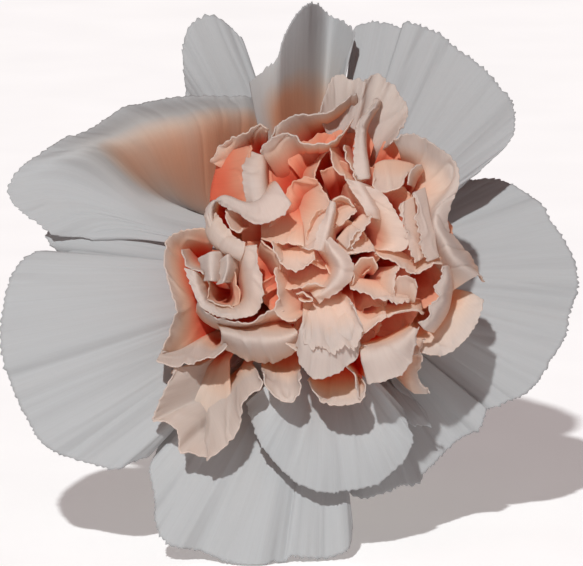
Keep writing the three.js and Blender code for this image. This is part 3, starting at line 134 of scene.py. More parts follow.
# Leaf pairs: each blade's middle line as (outwards, along the stem to the bloom, up) from its joint.
LEAF_WIDTH = 4.6
LEAF_WALL = 0.55
LEAF_CHANNEL = 0.7  # depth of the groove along a blade
LEAF_SLEEVE_LENGTH = 5.0
LEAF_PAIRS = {
    "leaf_pair_upper": (
        [(2.9, 1, 0.3), (4.4, 10, 1), (8, 22, 2), (14, 33, 2.5), (20, 41, 0.5)],
        [(2.9, 1, -0.3), (4.6, 11, 0.6), (9, 23, 1.6), (16, 34, 3), (24, 41, 2)],
    ),
    "leaf_pair_lower": (
        [(2.9, 1, 0.3), (4.6, 9, 2.5), (9, 20, 5), (16, 30, 6), (24, 36, 3)],
        [(2.9, 1, -0.3), (5, 9, 0.6), (10, 19, -0.5), (17, 29, -5), (24, 38, -10.5)],
    ),
}

GUARD_STYLE = {
    "root_ring": 4.2, "rows": 34, "tooth": 0.42, "ruffle": 0.4, "grip": 2.4, "pleat": 0.045,
    "crinkle": 0.12, "dent": 0.12,
}
HEART_STYLE = {
    "root_ring": 2.4, "rows": 30, "tooth": 0.26, "ruffle": 0.22, "grip": 1.3, "pleat": 0.08,
    "crinkle": 0.3, "dent": 0.3,
}

# The core behind the folds: rings of small red petals, as (radius, petals, depth under the dome).
CORE_RINGS = [(2.2, 4, 1.5), (5.0, 7, 2.0), (9.5, 11, 3.0), (13.5, 13, 3.8)]
CORE_DEPTH = 10.0  # of the closed heart behind them
CORE_RADIUS = 13.0

# Guard petals: the feet that a blade fans out of, (right, up, height), how far it arches, and its
# toothed hem, (right, up, lift off the plane). A crease is (share along the hem, width, depth), a
# painted shade band is (strength, its share up the blade, the share along the hem where it starts),
# and a spot of painted warm shade is (right, up, radius, strength). Unrest scales the unevenness of
# the blade.
GUARD_PETALS = [
    {"name": "left", "arch": 3, "creases": [(0.7, 1.6, 1.1), (0.45, 1.2, 0.35)],
     "feet": [(0, 0, 1.5)],
     "hem": [(-32.5, 3, 0), (-37.3, 3.2, 1), (-40.4, -0.1, 1), (-41.7, -6.5, 1), (-41.2, -11.7, 1),
      (-39, -17.6, 0), (-35.8, -22.2, -1), (-30.3, -24.2, 1), (-26, -25, 2), (-23, -23, 1),
      (-21.8, -20.2, -1)]},
    {"name": "left_wing", "painted_shade_band": (0.7, 0.62, 0.3), "painted_shade_spots": [(-12, 20.8, 5, 0.12)],
     "feet": [(-8.2, 3.2, 2), (-8.2, 4, 1.6), (-8.2, 4.8, 1.2), (-8.2, 5.9, 1), (-8.1, 6.9, 1),
      (-7.8, 7.9, 1.4), (-7.4, 9, 2), (-6.9, 10, 3)],
     "hem": [(-27.9, 5.1, 1), (-34.5, 5.1, 1), (-37.3, 6.9, 1), (-39.6, 8.5, 1), (-41, 10.8, 1),
      (-39.6, 13.7, 1), (-37.1, 15.6, 1), (-33.9, 17.6, 1), (-32.1, 17.9, 2), (-29.5, 19.2, 3),
      (-26.9, 20.8, 4.5), (-24.1, 22, 5.5), (-20.8, 22.6, 6), (-17.6, 22.9, 6.5), (-14.3, 23, 6.5),
      (-9.8, 22.9, 5), (-5.2, 22, 2)],
     "folds": [
      [(-22.8, 4.5, 2), (-27.9, 6.9, 1.5), (-31.9, 9.1, 1.5), (-33.7, 10.4, 1.5), (-33.4, 12.3, 2),
       (-31.6, 14.2, 3.5), (-29.5, 15.5, 6), (-26.9, 16.5, 9), (-24.1, 17.4, 11), (-21.4, 18.2, 12),
       (-18.9, 18.7, 12.5), (-16.2, 19.1, 12), (-13.4, 19.4, 10.5), (-9.8, 19.6, 7.5), (-5.9, 19.1, 4)],
      [(-15.6, 3.6, 3), (-18.2, 5.1, 2.5), (-20.4, 6.4, 2), (-22.1, 7.7, 1.4), (-22.1, 9, 1),
       (-20.8, 9.5, 0.8), (-19.5, 9.4, 0.8), (-18.2, 9, 1), (-17, 8.6, 1.2), (-15.7, 8.2, 1.4),
       (-14.2, 7.9, 1.8), (-12.6, 8.2, 2.4), (-10.8, 9, 3.4), (-8.7, 10.3, 5)]]},
    {"name": "left_under", "arch": 3,
     "feet": [(0, 0, 1.5)],
     "hem": [(-31.9, 9.1, -0.8), (-34.7, 6.9, -0.8), (-36, 5.1, -0.8), (-35.2, 3.8, -0.8),
      (-33.1, 2.5, -0.8), (-29.2, 1.2, -0.8), (-24.1, 0.1, -0.8), (-19.5, -0.4, -0.8)]},
    {"name": "top_left", "arch": 3,
     "feet": [(0, 0, 1.5)],
     "hem": [(-18.3, 22.8, -3), (-18.5, 26.7, -2), (-18.5, 29.9, -2), (-17.6, 32.5, -2),
      (-15.9, 33.7, -2), (-14.3, 33.7, -2), (-12.6, 32.6, -2), (-10.7, 30.3, -2), (-9.8, 27.7, -2),
      (-9.4, 24.1, -3)]},
    {"name": "top", "painted_shade_band": (0.5, 0.5, 0), "unrest": 0.2, "painted_shade_spots": [(-6.5, 21.5, 6, 0.45)],
     "feet": [(-8.2, 15, 5), (-4.5, 15, 3), (-0.9, 17.6, 1), (1.3, 17.6, 4)],
     "hem": [(-9.8, 24.8, 9), (-7.9, 26.3, 11), (-6.2, 27.9, 12), (-5.2, 30.8, 12), (-3.6, 33.8, 10),
      (-2.2, 35, 7), (-0.9, 35.2, 2), (0.8, 33.8, 0), (2.6, 32.9, 2), (3.8, 31.3, 4), (3.1, 29, 4),
      (2, 26.4, 3)]},
    {"name": "top_right", "arch": 3, "creases": [(0.245, 1.2, 0.6), (0.52, 1.2, 0.35)],
     "feet": [(0, 0, 1.5)],
     "hem": [(3.5, 27.9, -1), (3.8, 32.4, -1), (7.8, 33.1, 0), (9.8, 32.4, 1), (10.8, 33.1, 1),
      (14, 31.9, 0), (15.6, 31.1, 0), (17.6, 29.2, 0), (19.9, 27.7, 1), (22.8, 24.8, 2), (24.3, 22.8, 3),
      (24.6, 18.9, 5), (22.8, 16.2, 6), (20.2, 13.7, 6.5), (17.8, 11.1, 6)]},
    {"name": "right", "arch": 3, "creases": [(0.45, 1.3, 0.5), (0.556, 1.4, 0.6), (0.66, 1, 0.25)],
     "feet": [(0, 0, 1.5)],
     "hem": [(15, 11.1, -5), (17.6, 12.3, -5), (20.2, 12.6, -4.5), (22.5, 12.6, -4), (25.7, 11.3, -3),
      (28.2, 9.4, -2), (29.6, 6.9, -2), (32.2, 3.2, -1), (33, -2, -1), (31.9, -5.2, -1), (31.2, -8.5, -1),
      (29.2, -11.3, -1), (26.7, -15, -2), (23.4, -16.6, -3), (21.1, -17.4, -3), (18.2, -16.5, -4)]},
    {"name": "bottom_right", "arch": 3,
     "feet": [(0, 0, 1.5)],
     "hem": [(21.1, -17.4, -2), (19.9, -20.2, -3), (17.8, -21.4, -4), (15.6, -23.4, -4), (13, -25.7, -4),
      (12.1, -27, -4), (9.8, -27.2, -4), (7.2, -28.3, -4), (5.2, -28.9, -4), (3.2, -28.2, -4),
      (0.7, -26.7, -4)]},
    {"name": "bottom", "arch": 3, "creases": [(0.64, 1, 0.6), (0.3, 2, 0.4)],
     "feet": [(0, 0, 1.5)],
     "hem": [(-21.1, -21.4, 0), (-22.5, -24.1, 0), (-22.6, -25.6, 0), (-22.1, -29.2, 0),
      (-21.8, -31.9, 0), (-20.2, -34.5, 0), (-16.2, -35.6, 0), (-13.7, -36.5, 0), (-9.1, -37.4, 1),
      (-6.5, -36.8, 1), (-5.6, -37.2, 1), (-4.2, -36.1, 1), (-0.7, -36.5, 0), (2.3, -35.5, 0),
      (3.2, -33.1, 0), (3.1, -31.2, 0), (1.3, -28.2, 0)]},
    {"name": "bottom_front", "arch": 3.4,
     "feet": [(0, -7.8, 9)],
     "hem": [(-10, -16.2, 7.5), (-9, -19.5, 7.5), (-7.4, -22.8, 7), (-4.8, -25.6, 6), (-0.7, -27.7, 5.5),
      (3.2, -27.7, 5.5), (7.2, -26.7, 5.5), (10.1, -24.1, 6.5), (11.3, -21.4, 8), (10.8, -19.4, 9),
      (10, -16.8, 9.5)]},
    {"name": "bottom_lip", "arch": 3,
     "feet": [(5.9, -9.8, 4)],
     "hem": [(5.9, -16.2, 4), (10.3, -18.9, 5), (12.3, -19.4, 4), (14, -19.5, 3), (13, -17.8, 3),
      (10.4, -16, 4)]},
]

# Heart petals: the lines that a folded blade runs through, from its foot through its folds to its
# hem, all of (right, up, lift off the dome). Flush deepens a petal's colour and the painted shade
# of its deep parts, and tooth is the height of its teeth.
HEART_PETALS = [
    {"name": "tent", "flush_and_painted_shade": -0.7,
     "feet": [(0.4, 17.3, -5), (1.7, 16.8, -5.5), (3.2, 16.5, -6), (4.8, 16.5, -6), (6.1, 16.2, -6),
      (7.2, 15.7, -5.5)],
     "hem": [(-0.7, 20.4, -1), (0, 23.1, 0), (1, 25.2, 1), (2.2, 25.5, 1.5), (3.2, 24.8, 1.5),
      (4.3, 25.1, 1.5), (5.1, 24.4, 1.5), (5.9, 25.4, 1.5), (6.9, 25.5, 1.5), (7.7, 24.6, 1.5),
      (8.6, 24.2, 1), (9.5, 22.9, 0.5), (10.4, 21.3, 0), (10.1, 19.9, 0), (9.2, 18.5, 0),
      (7.9, 16.8, -0.5)]},
    {"name": "top_band",
     "feet": [(-6.4, 14.2, -5), (-5.3, 15, -6), (-4.3, 15.5, -6), (-3, 16, -7), (-1.4, 16.2, -9),
      (0.1, 17.3, -9), (1.4, 18.6, -9), (2.7, 19.6, -7), (4, 20.4, -5)],
     "hem": [(-7.9, 16, 0), (-7.2, 17.2, 0.5), (-6.4, 18.5, 0.8), (-5.2, 19.6, 1.2), (-3.2, 20.3, 1.4),
      (-0.9, 20.4, 1.4), (0.7, 20.8, 1.2), (2.6, 22.1, 1), (4.2, 22.8, 0.5)]},
    {"name": "top_fold",
     "feet": [(-6.1, 12.3, -6), (-5.3, 12.6, -6), (-4.4, 13.1, -6), (-3.4, 13.9, -7), (-2.2, 14.7, -8),
      (-0.9, 15, -9), (0.4, 15.2, -9), (1.7, 16.5, -9), (3, 18.1, -7)],
     "hem": [(-8.2, 15.5, 0.5), (-7.5, 16.8, 1), (-6, 17.8, 1.2), (-4.3, 17.7, 1.2), (-3, 16.6, 1),
      (-1.8, 16.4, 0.8), (-0.4, 16.4, 0.8), (1.2, 17, 0.8), (2.3, 18.3, 0.8), (3.4, 20.2, 0.6)]},
    {"name": "shade", "flush_and_painted_shade": -0.2,
     "feet": [(-0.4, 16.5, -7), (-1.7, 15, -7), (-3, 13.4, -7), (-3.4, 11.6, -7), (-3.5, 10, -6.5),
      (-3.5, 8.5, -6), (-3.8, 6.9, -5), (-4, 5.3, -4.5), (-4.3, 4, -4)],
     "hem": [(0.7, 16.2, -4), (-0.5, 14.6, -4), (-1.4, 12.6, -3.5), (-0.7, 11.1, -3), (0.4, 9.4, -2),
      (0.5, 8.3, -1.8), (-0.3, 6.4, -1.2), (-1, 4.5, -0.6), (-1.7, 3.5, -0.2), (-2.7, 3.4, 0)]},
    {"name": "edge_one",
     "feet": [(2, 16.2, -7), (2.5, 15.2, -7), (3, 14.2, -7), (3.6, 13.1, -6), (4.3, 12.1, -5)],
     "hem": [(0.5, 16.2, -0.5), (0.8, 15, -0.5), (1.3, 13.7, -0.3), (2.2, 12.5, 0), (3.2, 11.3, 0.3)]},
    {"name": "edge_two",
     "feet": [(3.2, 16.4, -6), (3.6, 15.2, -6), (4, 14, -6), (4.4, 13, -5), (5.1, 12, -4)],
     "hem": [(2.1, 16.4, 0.2), (2.2, 15.2, 0.4), (2.9, 13.9, 0.6), (3.2, 12.6, 0.8), (3.9, 11.3, 0.8)]},
    {"name": "strip",
     "feet": [(7.4, 21.8, -5), (6.8, 20.5, -6), (5.6, 19, -6), (5.3, 17.4, -6), (5.3, 15.6, -6),
      (5.5, 14.2, -6), (5.6, 13.1, -5), (5.6, 12.2, -4)],
     "hem": [(6.4, 22.5, 0.6), (5.6, 21.4, 1), (4.2, 19.6, 1.3), (3.8, 18.1, 1.5), (3.6, 16.2, 1.5),
      (3.5, 14.7, 1.5), (3.6, 13.1, 1.5), (4, 12, 1)],
     "folds": [
      [(7, 22.2, 0.3), (6.2, 21.1, 0.9), (5.1, 19.2, 1.2), (4.8, 17.6, 1.4), (4.9, 15.6, 1.4),
       (5.1, 14.2, 1.4), (5.2, 13, 1.2), (5.2, 12.1, 1)]]},
    {"name": "square",
     "feet": [(6.2, 14, -2), (6.9, 14.4, -2), (7.9, 14.6, -2), (9, 14.6, -2), (10, 14.4, -2),
      (10.8, 14.2, -2), (11.3, 13.9, -2)],
     "hem": [(6, 12.3, 0.5), (5.9, 11.1, 0.8), (7.2, 10.5, 0.8), (8.5, 10.7, 0.8), (9.4, 10.9, 0.8),
      (10, 12, 0.6), (10.5, 12.9, 0.3)]},
    {"name": "foldlet",
     "feet": [(11.3, 11.1, -3), (11.6, 12, -3), (12, 12.7, -3), (12.5, 13.3, -3)],
     "hem": [(10.4, 11.4, 0.6), (10.5, 12.7, 1), (11.1, 13.7, 1), (12.1, 14, 0.8)]},
    {"name": "arch", "flush_and_painted_shade": -0.22,
     "feet": [(9.8, 14.2, -5), (10.5, 13.9, -5), (11.3, 13.4, -5), (11.7, 12.3, -5), (11.7, 11.1, -4.5),
      (11.8, 9.8, -3.5), (12, 8.5, -3), (12.1, 6.9, -3), (12.5, 5.3, -3), (13.3, 3.6, -3),
      (14.2, 2.1, -3), (15.3, 0.4, -3), (16.2, -2, -4)],
     "hem": [(8.7, 17, 1.2), (10, 17.8, 1.5), (11.6, 17.7, 1.6), (13.7, 16.5, 1.6), (15.5, 15.2, 1.4),
      (16.8, 13.3, 1.2), (16.8, 11.1, 0.8), (15.7, 8.7, 0), (15.3, 6.9, -0.5), (16.1, 5.1, -1.5),
      (17.4, 3.4, -2.5), (18.9, 1.8, -3.5), (20.4, -0.9, -4)],
     "folds": [
      [(9.2, 15.9, -1), (10.3, 15.7, -1.4), (11.8, 15.2, -1.6), (13.3, 14.2, -1.8), (14.4, 12.7, -2),
       (15.1, 11.2, -1.8), (14.7, 9.8, -0.8), (13.9, 8.2, 0.3), (13.8, 6.4, 1), (15, 4.4, 1),
       (16, 2.5, 0.8), (17.4, 1.2, 0.3), (19.1, -0.1, -0.5)]]},
    {"name": "wrap",
     "feet": [(2.7, 11.8, -1.5), (3.5, 10, -2), (4.3, 8.5, -3), (5.2, 7, -4), (5.9, 5.9, -4.5),
      (6.1, 4.9, -4.5), (6.2, 4.3, -4.5), (6.1, 3.8, -4.5), (5.7, 3.5, -4.5), (5.3, 3.4, -4.5)],
     "hem": [(4.8, 11.3, 1), (6.1, 10.8, 1.2), (7.3, 10.1, 1), (8.2, 8.7, 0.8), (9, 7.3, 0.8),
      (9.8, 6.2, 0.8), (10.3, 5.1, 0.6), (10.4, 3.9, 0.5), (9.8, 3.1, 0.3), (8.5, 3, 0)],
     "folds": [
      [(4, 11.1, 1), (4.8, 10, 0.6), (6, 8.8, 0), (7, 7.4, -0.6), (7.7, 6.1, -0.8), (8.1, 5.1, -0.8),
       (8.2, 4.3, -0.8), (8.1, 3.8, -0.8), (7.5, 3.4, -0.8), (6.8, 3.2, -0.8)]]},
    {"name": "ridge",
     "feet": [(6.1, 11.1, -2), (6.6, 10, -3), (7.2, 9, -4), (7.5, 7.9, -4), (7.7, 6.9, -4)],
     "hem": [(2.5, 12.1, 0.6), (3, 11.1, 1), (3.6, 10.1, 1.3), (4.4, 8.8, 1.3), (5.1, 7.4, 1)],
     "folds": [
      [(4.3, 11.6, 1.4), (4.9, 10.5, 1.6), (5.6, 9.5, 1.4), (6.2, 8.3, 0.8), (6.6, 7, 0)]]},
    {"name": "crescent",
     "feet": [(1.7, 8.2, -6), (2.2, 8.2, -6), (2.6, 8.1, -6), (3.1, 7.7, -6)],
     "hem": [(0.9, 9.2, -0.8), (1.7, 9.8, -0.2), (2.7, 9.5, 0.2), (3.5, 8.5, 0.2)]},
    {"name": "whorl_one", "tooth": 0.6,
     "feet": [(1.6, 3.9, -1.2), (2, 4.7, -1), (2.5, 5.6, -1), (3.1, 6.4, -1), (3.9, 7, -1),
      (4.7, 7.7, -1.2)],
     "hem": [(3.2, 3.2, 1), (3.8, 4.2, 1.5), (4.2, 4.9, 1.7), (4.7, 5.7, 1.7), (5.2, 6.4, 1.5),
      (5.9, 7.3, 1)]},
    {"name": "whorl_two", "tooth": 0.5,
     "feet": [(2, 4.4, -2.2), (2.7, 4.3, -2.2), (3.5, 4.4, -2.2), (4.3, 4.5, -2.2), (5.3, 4.7, -2.2)],
     "hem": [(0.9, 3, 0.6), (2.1, 2.7, 1.1), (3.2, 3, 1.3), (4.7, 3, 1.2), (6.2, 3.2, 0.9)]},
    {"name": "whorl_three", "tooth": 0.5,
     "feet": [(0.5, 7.3, -3), (1.3, 8.2, -3), (2.2, 9, -3), (3.1, 9.4, -3)],
     "hem": [(1.4, 6.2, 0.2), (2.2, 7, 0.8), (3.1, 7.7, 0.9), (3.9, 8.1, 0.6)]},
    {"name": "whorl_four", "tooth": 0.6,
     "feet": [(1.4, 4.5, -0.6), (2, 5.2, -0.6), (2.6, 5.9, -0.6), (3.2, 6.4, -0.8)],
     "hem": [(2.6, 3.2, 1.4), (3, 4.2, 1.9), (3.5, 4.9, 2), (4.2, 5.7, 1.7)]},
    {"name": "spike",
     "feet": [(1.4, 8.7, -5), (1.3, 6.9, -5), (1.2, 5.1, -4), (1, 3.6, -3), (1, 2.7, -2)],
     "hem": [(0.5, 9.4, 1), (0, 7.7, 1.3), (-0.8, 5.9, 1.4), (-1.3, 4.2, 1.2), (-1.7, 3.2, 0.8)],
     "folds": [
      [(0.9, 9.1, 1.4), (0.7, 7.2, 1.6), (0.3, 5.3, 1.6), (-0.1, 3.8, 1.4), (-0.5, 2.9, 1)]]},
    {"name": "drop",
     "feet": [(-1.4, 3.8, -2.5), (-0.7, 2.7, -3), (0, 1.7, -3.5), (0.3, 0.9, -3.5), (0.1, 0, -3.5),
      (-0.5, -0.7, -3.5), (-1.3, -1.2, -3.5), (-2.2, -1.8, -3.5)],
     "hem": [(0.3, 5.1, 1), (1.7, 3.6, 1.2), (2.9, 2.3, 1.2), (3.4, 0.9, 1), (3.1, -0.5, 0.8),
      (2, -1.7, 0.5), (0.5, -2.7, 0.2), (-0.9, -3.6, -0.3)],
     "folds": [
      [(-0.4, 4.5, 1.6), (0.5, 3.1, 2), (1.3, 2, 2.2), (1.7, 0.9, 2), (1.4, -0.3, 1.6), (0.7, -1.2, 1.2),
       (-0.4, -2, 0.8), (-1.6, -2.7, 0.3)]]},
    {"name": "frill", "tooth": 0.5,
     "feet": [(-5.9, 3, -2), (-5.1, 3.2, -2.4), (-4.2, 3.4, -2.5), (-3.2, 3.4, -2.5), (-2.3, 3.5, -2.2),
      (-1.6, 3.5, -1.8)],
     "hem": [(-6.1, 1.8, 0.4), (-5.5, 1.2, 0.9), (-4.4, 0.7, 1.1), (-3.2, 0.8, 1.1), (-2.3, 1.2, 1),
      (-1.4, 2, 0.6)]},
    {"name": "frill_edge",
     "feet": [(-5.6, 4, -4), (-5.3, 3.5, -4), (-4.9, 3, -4), (-4.5, 2.5, -4)],
     "hem": [(-6.9, 4.2, 0.2), (-6.5, 3.2, 0.5), (-6.1, 2.5, 0.6), (-5.5, 1.8, 0.4)]},
    {"name": "red_face",
     "feet": [(-5.3, 1.4, -6), (-4, 1.7, -6.5), (-2.9, 2, -7), (-1.6, 2.2, -7), (-0.4, 2, -7),
      (0.7, 1.4, -6.5)],
     "hem": [(-5.5, -1.7, -1.5), (-4.3, -2, -1.5), (-3, -1.7, -1.2), (-1.6, -1.2, -1), (-0.1, -1.2, -1),
      (0.9, -0.4, -1.2)]},
    {"name": "lens",
     "feet": [(-2.9, -2, -2), (-2.2, -2.1, -2.5), (-1.4, -2.1, -2.5), (-0.8, -2, -2.2),
      (-0.1, -1.8, -1.8)],
     "hem": [(-3.2, -1.6, 0.2), (-2.3, -1.2, 0.7), (-1.4, -0.9, 0.9), (-0.7, -1, 0.8), (0, -1.4, 0.4)]},
    {"name": "loop",
     "feet": [(-2.9, -3, -5), (-2.7, -3.1, -5), (-2.3, -3.1, -5), (-2.2, -3, -5), (-2.3, -2.9, -5),
      (-2.6, -2.7, -5), (-2.9, -2.9, -5)],
     "hem": [(-3.5, -3.1, 0.3), (-2.7, -3.6, 0.6), (-2, -3.5, 0.7), (-1.7, -3, 0.7), (-2.1, -2.5, 0.7),
      (-2.9, -2.2, 0.5), (-3.8, -2.3, 0.3)]},
    {"name": "deep_edge",
     "feet": [(-5.3, 0.7, -4), (-4.7, -0.3, -4), (-4.2, -1.2, -4), (-3.8, -2.1, -4), (-3.4, -2.9, -4),
      (-3.1, -3.5, -4), (-2.9, -4.2, -4), (-2.7, -4.8, -3)],
     "hem": [(-6.5, 0.9, -0.3), (-6.2, -0.7, 0.4), (-5.9, -2, 0.5), (-6.2, -3.1, 0.5), (-6.5, -4.3, 0.5),
      (-6, -5.2, 0.4), (-5.1, -5.9, 0.2), (-3.8, -6.1, 0)]},
    {"name": "inner_face",
     "feet": [(-8.2, 7.2, -5), (-6.6, 7.7, -5.5), (-5.1, 8.7, -6), (-3.8, 8.7, -6), (-3, 7.9, -5.5)],
     "hem": [(-8.2, 4.5, -1.2), (-6.9, 4, -1), (-5.2, 3.6, -0.8), (-3.5, 3.6, -0.6), (-2.7, 3.5, -0.6)]},
    {"name": "back_wall",
     "feet": [(-8.7, 1.4, -8), (-8.3, 0.7, -9), (-7.9, -0.3, -10), (-7.4, -1.2, -10), (-6.9, -2, -10)],
     "hem": [(-8.3, 4.3, -0.6), (-7.5, 3.5, -0.6), (-6.6, 2.7, -0.8), (-6.1, 1.8, -1),
      (-5.7, 0.7, -1.5)]},
    {"name": "cup",
     "feet": [(-15.2, -0.3, -5), (-14.8, -1.4, -5.5), (-14.6, -2.6, -6), (-13.8, -3.2, -6.5),
      (-12.3, -3.4, -6.5), (-11.4, -2.9, -6), (-11.1, -1.8, -5.5), (-11.2, -0.3, -5), (-11.4, 1.2, -5),
      (-11.7, 2.7, -5)],
     "hem": [(-17.9, 0.9, 0.6), (-17, -1.7, 0.9), (-15.9, -3.9, 0.9), (-13.9, -5.3, 0.7),
      (-11.4, -5.7, 0.7), (-9.2, -4.9, 0.9), (-8.2, -3.2, 1.1), (-8.2, -0.7, 1.1), (-8.5, 1.7, 1),
      (-8.8, 3.8, 0.8)],
     "folds": [
      [(-16.6, 0.4, 0.1), (-16, -1.7, -0.2), (-15.1, -3.4, -0.5), (-13.7, -4.3, -0.7),
       (-11.7, -4.4, -0.7), (-10.3, -3.6, -0.3), (-9.8, -2.2, 0), (-9.9, -0.1, 0.3), (-10.3, 1.7, 0.4),
       (-10.7, 3.5, 0.2)]]},
    {"name": "cup_under", "flush_and_painted_shade": -0.05,
     "feet": [(-16.6, -4.8, -5), (-15.5, -6.1, -5), (-13.7, -7, -5), (-11.1, -7.3, -5), (-8.7, -7, -5),
      (-6.5, -6.1, -5), (-4.9, -5.6, -5)],
     "hem": [(-16.4, -3.2, 0.4), (-15.5, -4.7, 0.5), (-13.9, -5.6, 0.5), (-11.4, -6, 0.5),
      (-9, -5.6, 0.4), (-6.9, -4.7, 0.1), (-5.3, -4.5, -0.6)]},
    {"name": "cup_inside", "flush_and_painted_shade": 0.1,
     "feet": [(-13.8, -1.6, -6), (-13.5, -2, -6), (-13.4, -2.5, -6), (-13.1, -2.9, -6), (-12.7, -3, -6),
      (-12.3, -2.9, -6), (-12.1, -2.5, -6), (-12.1, -2, -6), (-12.3, -1.4, -6)],
     "hem": [(-15.3, -0.4, -1), (-15, -1.7, -1.5), (-15.1, -3, -1.5), (-14.7, -4.2, -1.5),
      (-13.5, -4.8, -1.5), (-12.2, -4.5, -1.5), (-11.2, -3.4, -1.5), (-11.3, -1.7, -1.5),
      (-11.7, 0.4, -1.5)]},
    {"name": "cup_lip",
     "feet": [(-14.6, -4, -5), (-14, -4.4, -5), (-13.4, -4.7, -5), (-12.3, -5.1, -5)],
     "hem": [(-15, -3, -0.8), (-14, -3.4, -0.8), (-13, -3.8, -0.8), (-11.8, -4.4, -0.8)]},
    {"name": "tongue_left", "tooth": 0.4, "flush_and_painted_shade": -0.1,
     "feet": [(-13.3, 3, -0.9), (-13.4, 1.2, -0.9), (-13.7, -0.9, -0.6)],
     "hem": [(-15.9, 2.1, -0.6), (-16, 0.8, -0.5), (-15.6, -0.8, -0.2)],
     "folds": [
      [(-14.7, 2.9, 0.9), (-14.8, 1.2, 1.1), (-14.6, -0.8, 1.1)]]},
    {"name": "tongue_right", "tooth": 0.4, "flush_and_painted_shade": -0.1,
     "feet": [(-11.3, 2.5, -1.8), (-11.4, 0.8, -2), (-12.2, -0.9, -2)],
     "hem": [(-13.5, 1.8, -0.3), (-13.5, 0.4, -0.1), (-13.8, -1.2, 0.2)],
     "folds": [
      [(-12.5, 2.6, 0.9), (-12.5, 0.9, 1), (-13, -1, 1)]]},
    {"name": "thin_rim",
     "feet": [(-16.6, 3.5, -8), (-16.4, 2.5, -8), (-16, 1.7, -8), (-15.5, 1.3, -8)],
     "hem": [(-18.5, 3.2, -0.3), (-18.1, 1.7, 0.2), (-17.3, 0.7, 0.3), (-15.6, -0.1, 0.3)]},
    {"name": "left_coral", "flush_and_painted_shade": 0.2,
     "feet": [(-14.7, 2.6, -7), (-15.5, 2.2, -8), (-16.1, 2, -8), (-16.6, 1.6, -8), (-16.9, 0.9, -8),
      (-16.9, -0.4, -8), (-16.4, -2.3, -8), (-15.7, -4.5, -8), (-15.5, -6.9, -8), (-16, -9, -7)],
     "hem": [(-13.9, 4.8, -1), (-15.6, 5.5, -0.2), (-17.8, 5.5, 0), (-19.9, 4.8, 0.2), (-20.5, 3, 0.7),
      (-20.4, 0.7, 1), (-19.8, -2.2, 1.1), (-19.4, -4.5, 1), (-19.9, -7.2, 0.5), (-21.2, -9.5, -0.5)],
     "folds": [
      [(-14.4, 3.8, -2.5), (-15.9, 4.2, -3), (-17.6, 4, -3), (-18.9, 3.5, -3), (-19.2, 2.2, -2.8),
       (-19, 0.1, -2.8), (-18.3, -2.3, -2.8), (-17.9, -4.7, -3), (-18.2, -7.3, -3), (-19.4, -9.8, -3.2)]]},
    {"name": "back_peach", "flush_and_painted_shade": 0.45,
     "feet": [(-13.5, 15.5, -3), (-14, 13.9, -3), (-14.4, 12.3, -3), (-14.7, 10.9, -3), (-14.8, 9.5, -3)],
     "hem": [(-9.5, 16.5, 0.3), (-9.6, 14.7, 0.3), (-9.8, 12.7, 0.2), (-10, 10.9, 0),
      (-10.1, 9.1, -0.3)]},
    {"name": "pink_tip", "flush_and_painted_shade": 0.2,
     "feet": [(-11.3, 12.6, -5), (-10.7, 13.7, -5.5), (-9.9, 14.6, -6), (-9.1, 15.3, -6), (-8.2, 16, -6),
      (-7.4, 16.4, -5)],
     "hem": [(-14.8, 14.4, -0.6), (-13.5, 16.1, 0.3), (-11.7, 17.3, 0.8), (-9.9, 18.3, 1),
      (-8.3, 19.2, 1), (-7.3, 18.5, 0.4)]},
    {"name": "leg",
     "feet": [(-6.9, 9.5, -6), (-7.2, 11.6, -6), (-7.3, 13.7, -6), (-7.5, 15.2, -5)],
     "hem": [(-10, 9.1, 1), (-10.3, 11.6, 0.9), (-10.4, 14, 0.6), (-9.8, 15.9, 0.2)],
     "folds": [
      [(-8.8, 9.2, 1.5), (-9, 11.6, 1.2), (-9.1, 13.8, 0.8), (-8.7, 15.5, 0.5)],
      [(-7.4, 9.5, 0), (-7.7, 11.6, -0.3), (-7.8, 13.7, -0.5), (-7.8, 15.2, -0.6)]]},
    {"name": "band",
     "feet": [(-13.4, 5.2, -5), (-13.7, 7.7, -6), (-13.4, 8.8, -6), (-12.3, 9.1, -6), (-10.9, 8.7, -6),
      (-9.6, 8.7, -5), (-8.8, 9.5, -4), (-8.2, 10.5, -4), (-7.5, 11.3, -4), (-6.9, 11.8, -4)],
     "hem": [(-14.8, 4.8, -0.5), (-15.5, 7.4, 0.2), (-15, 8.7, 0.8), (-13.7, 9.1, 1.2), (-12.2, 8.3, 1.5),
      (-10.4, 7.4, 1.8), (-8.8, 6.4, 2), (-6.9, 6.8, 2), (-5.3, 7.7, 2), (-4.4, 9, 1.5)],
     "folds": [
      [(-14.4, 5.1, 0.2), (-15, 7.5, 0.9), (-14.6, 9, 1.5), (-13.3, 9.5, 1.8), (-11.6, 8.7, 2),
       (-9.9, 8.1, 2.2), (-8.5, 7.5, 2.3), (-7, 8.1, 2.3), (-5.9, 9, 2.2), (-5.1, 10, 1.8)],
      [(-13.9, 5.2, -0.5), (-14.4, 7.7, 0.2), (-14, 9.5, 0.8), (-12.9, 10, 1), (-11.1, 9.4, 1.2),
       (-9.6, 9, 1.4), (-8.6, 9.2, 1.5), (-7.7, 9.9, 1.5), (-6.9, 10.9, 1.2), (-6.2, 11.7, 0.8)]]},
    {"name": "corner",
     "feet": [(-11.1, 8.2, -2.5), (-11.1, 7.3, -3), (-10.7, 6.6, -3.5), (-10.3, 6.2, -4),
      (-9.8, 6.2, -4)],
     "hem": [(-12.6, 8.3, 0), (-12.7, 7.2, 0.5), (-12.2, 5.9, 0.8), (-11.2, 5.2, 0.5),
      (-10.4, 5.6, 0.2)]},
    {"name": "saddle",
     "feet": [(-14.6, 4.8, -6), (-13.9, 3.8, -6), (-13, 3, -6), (-11.8, 2.5, -6), (-10.7, 2, -6)],
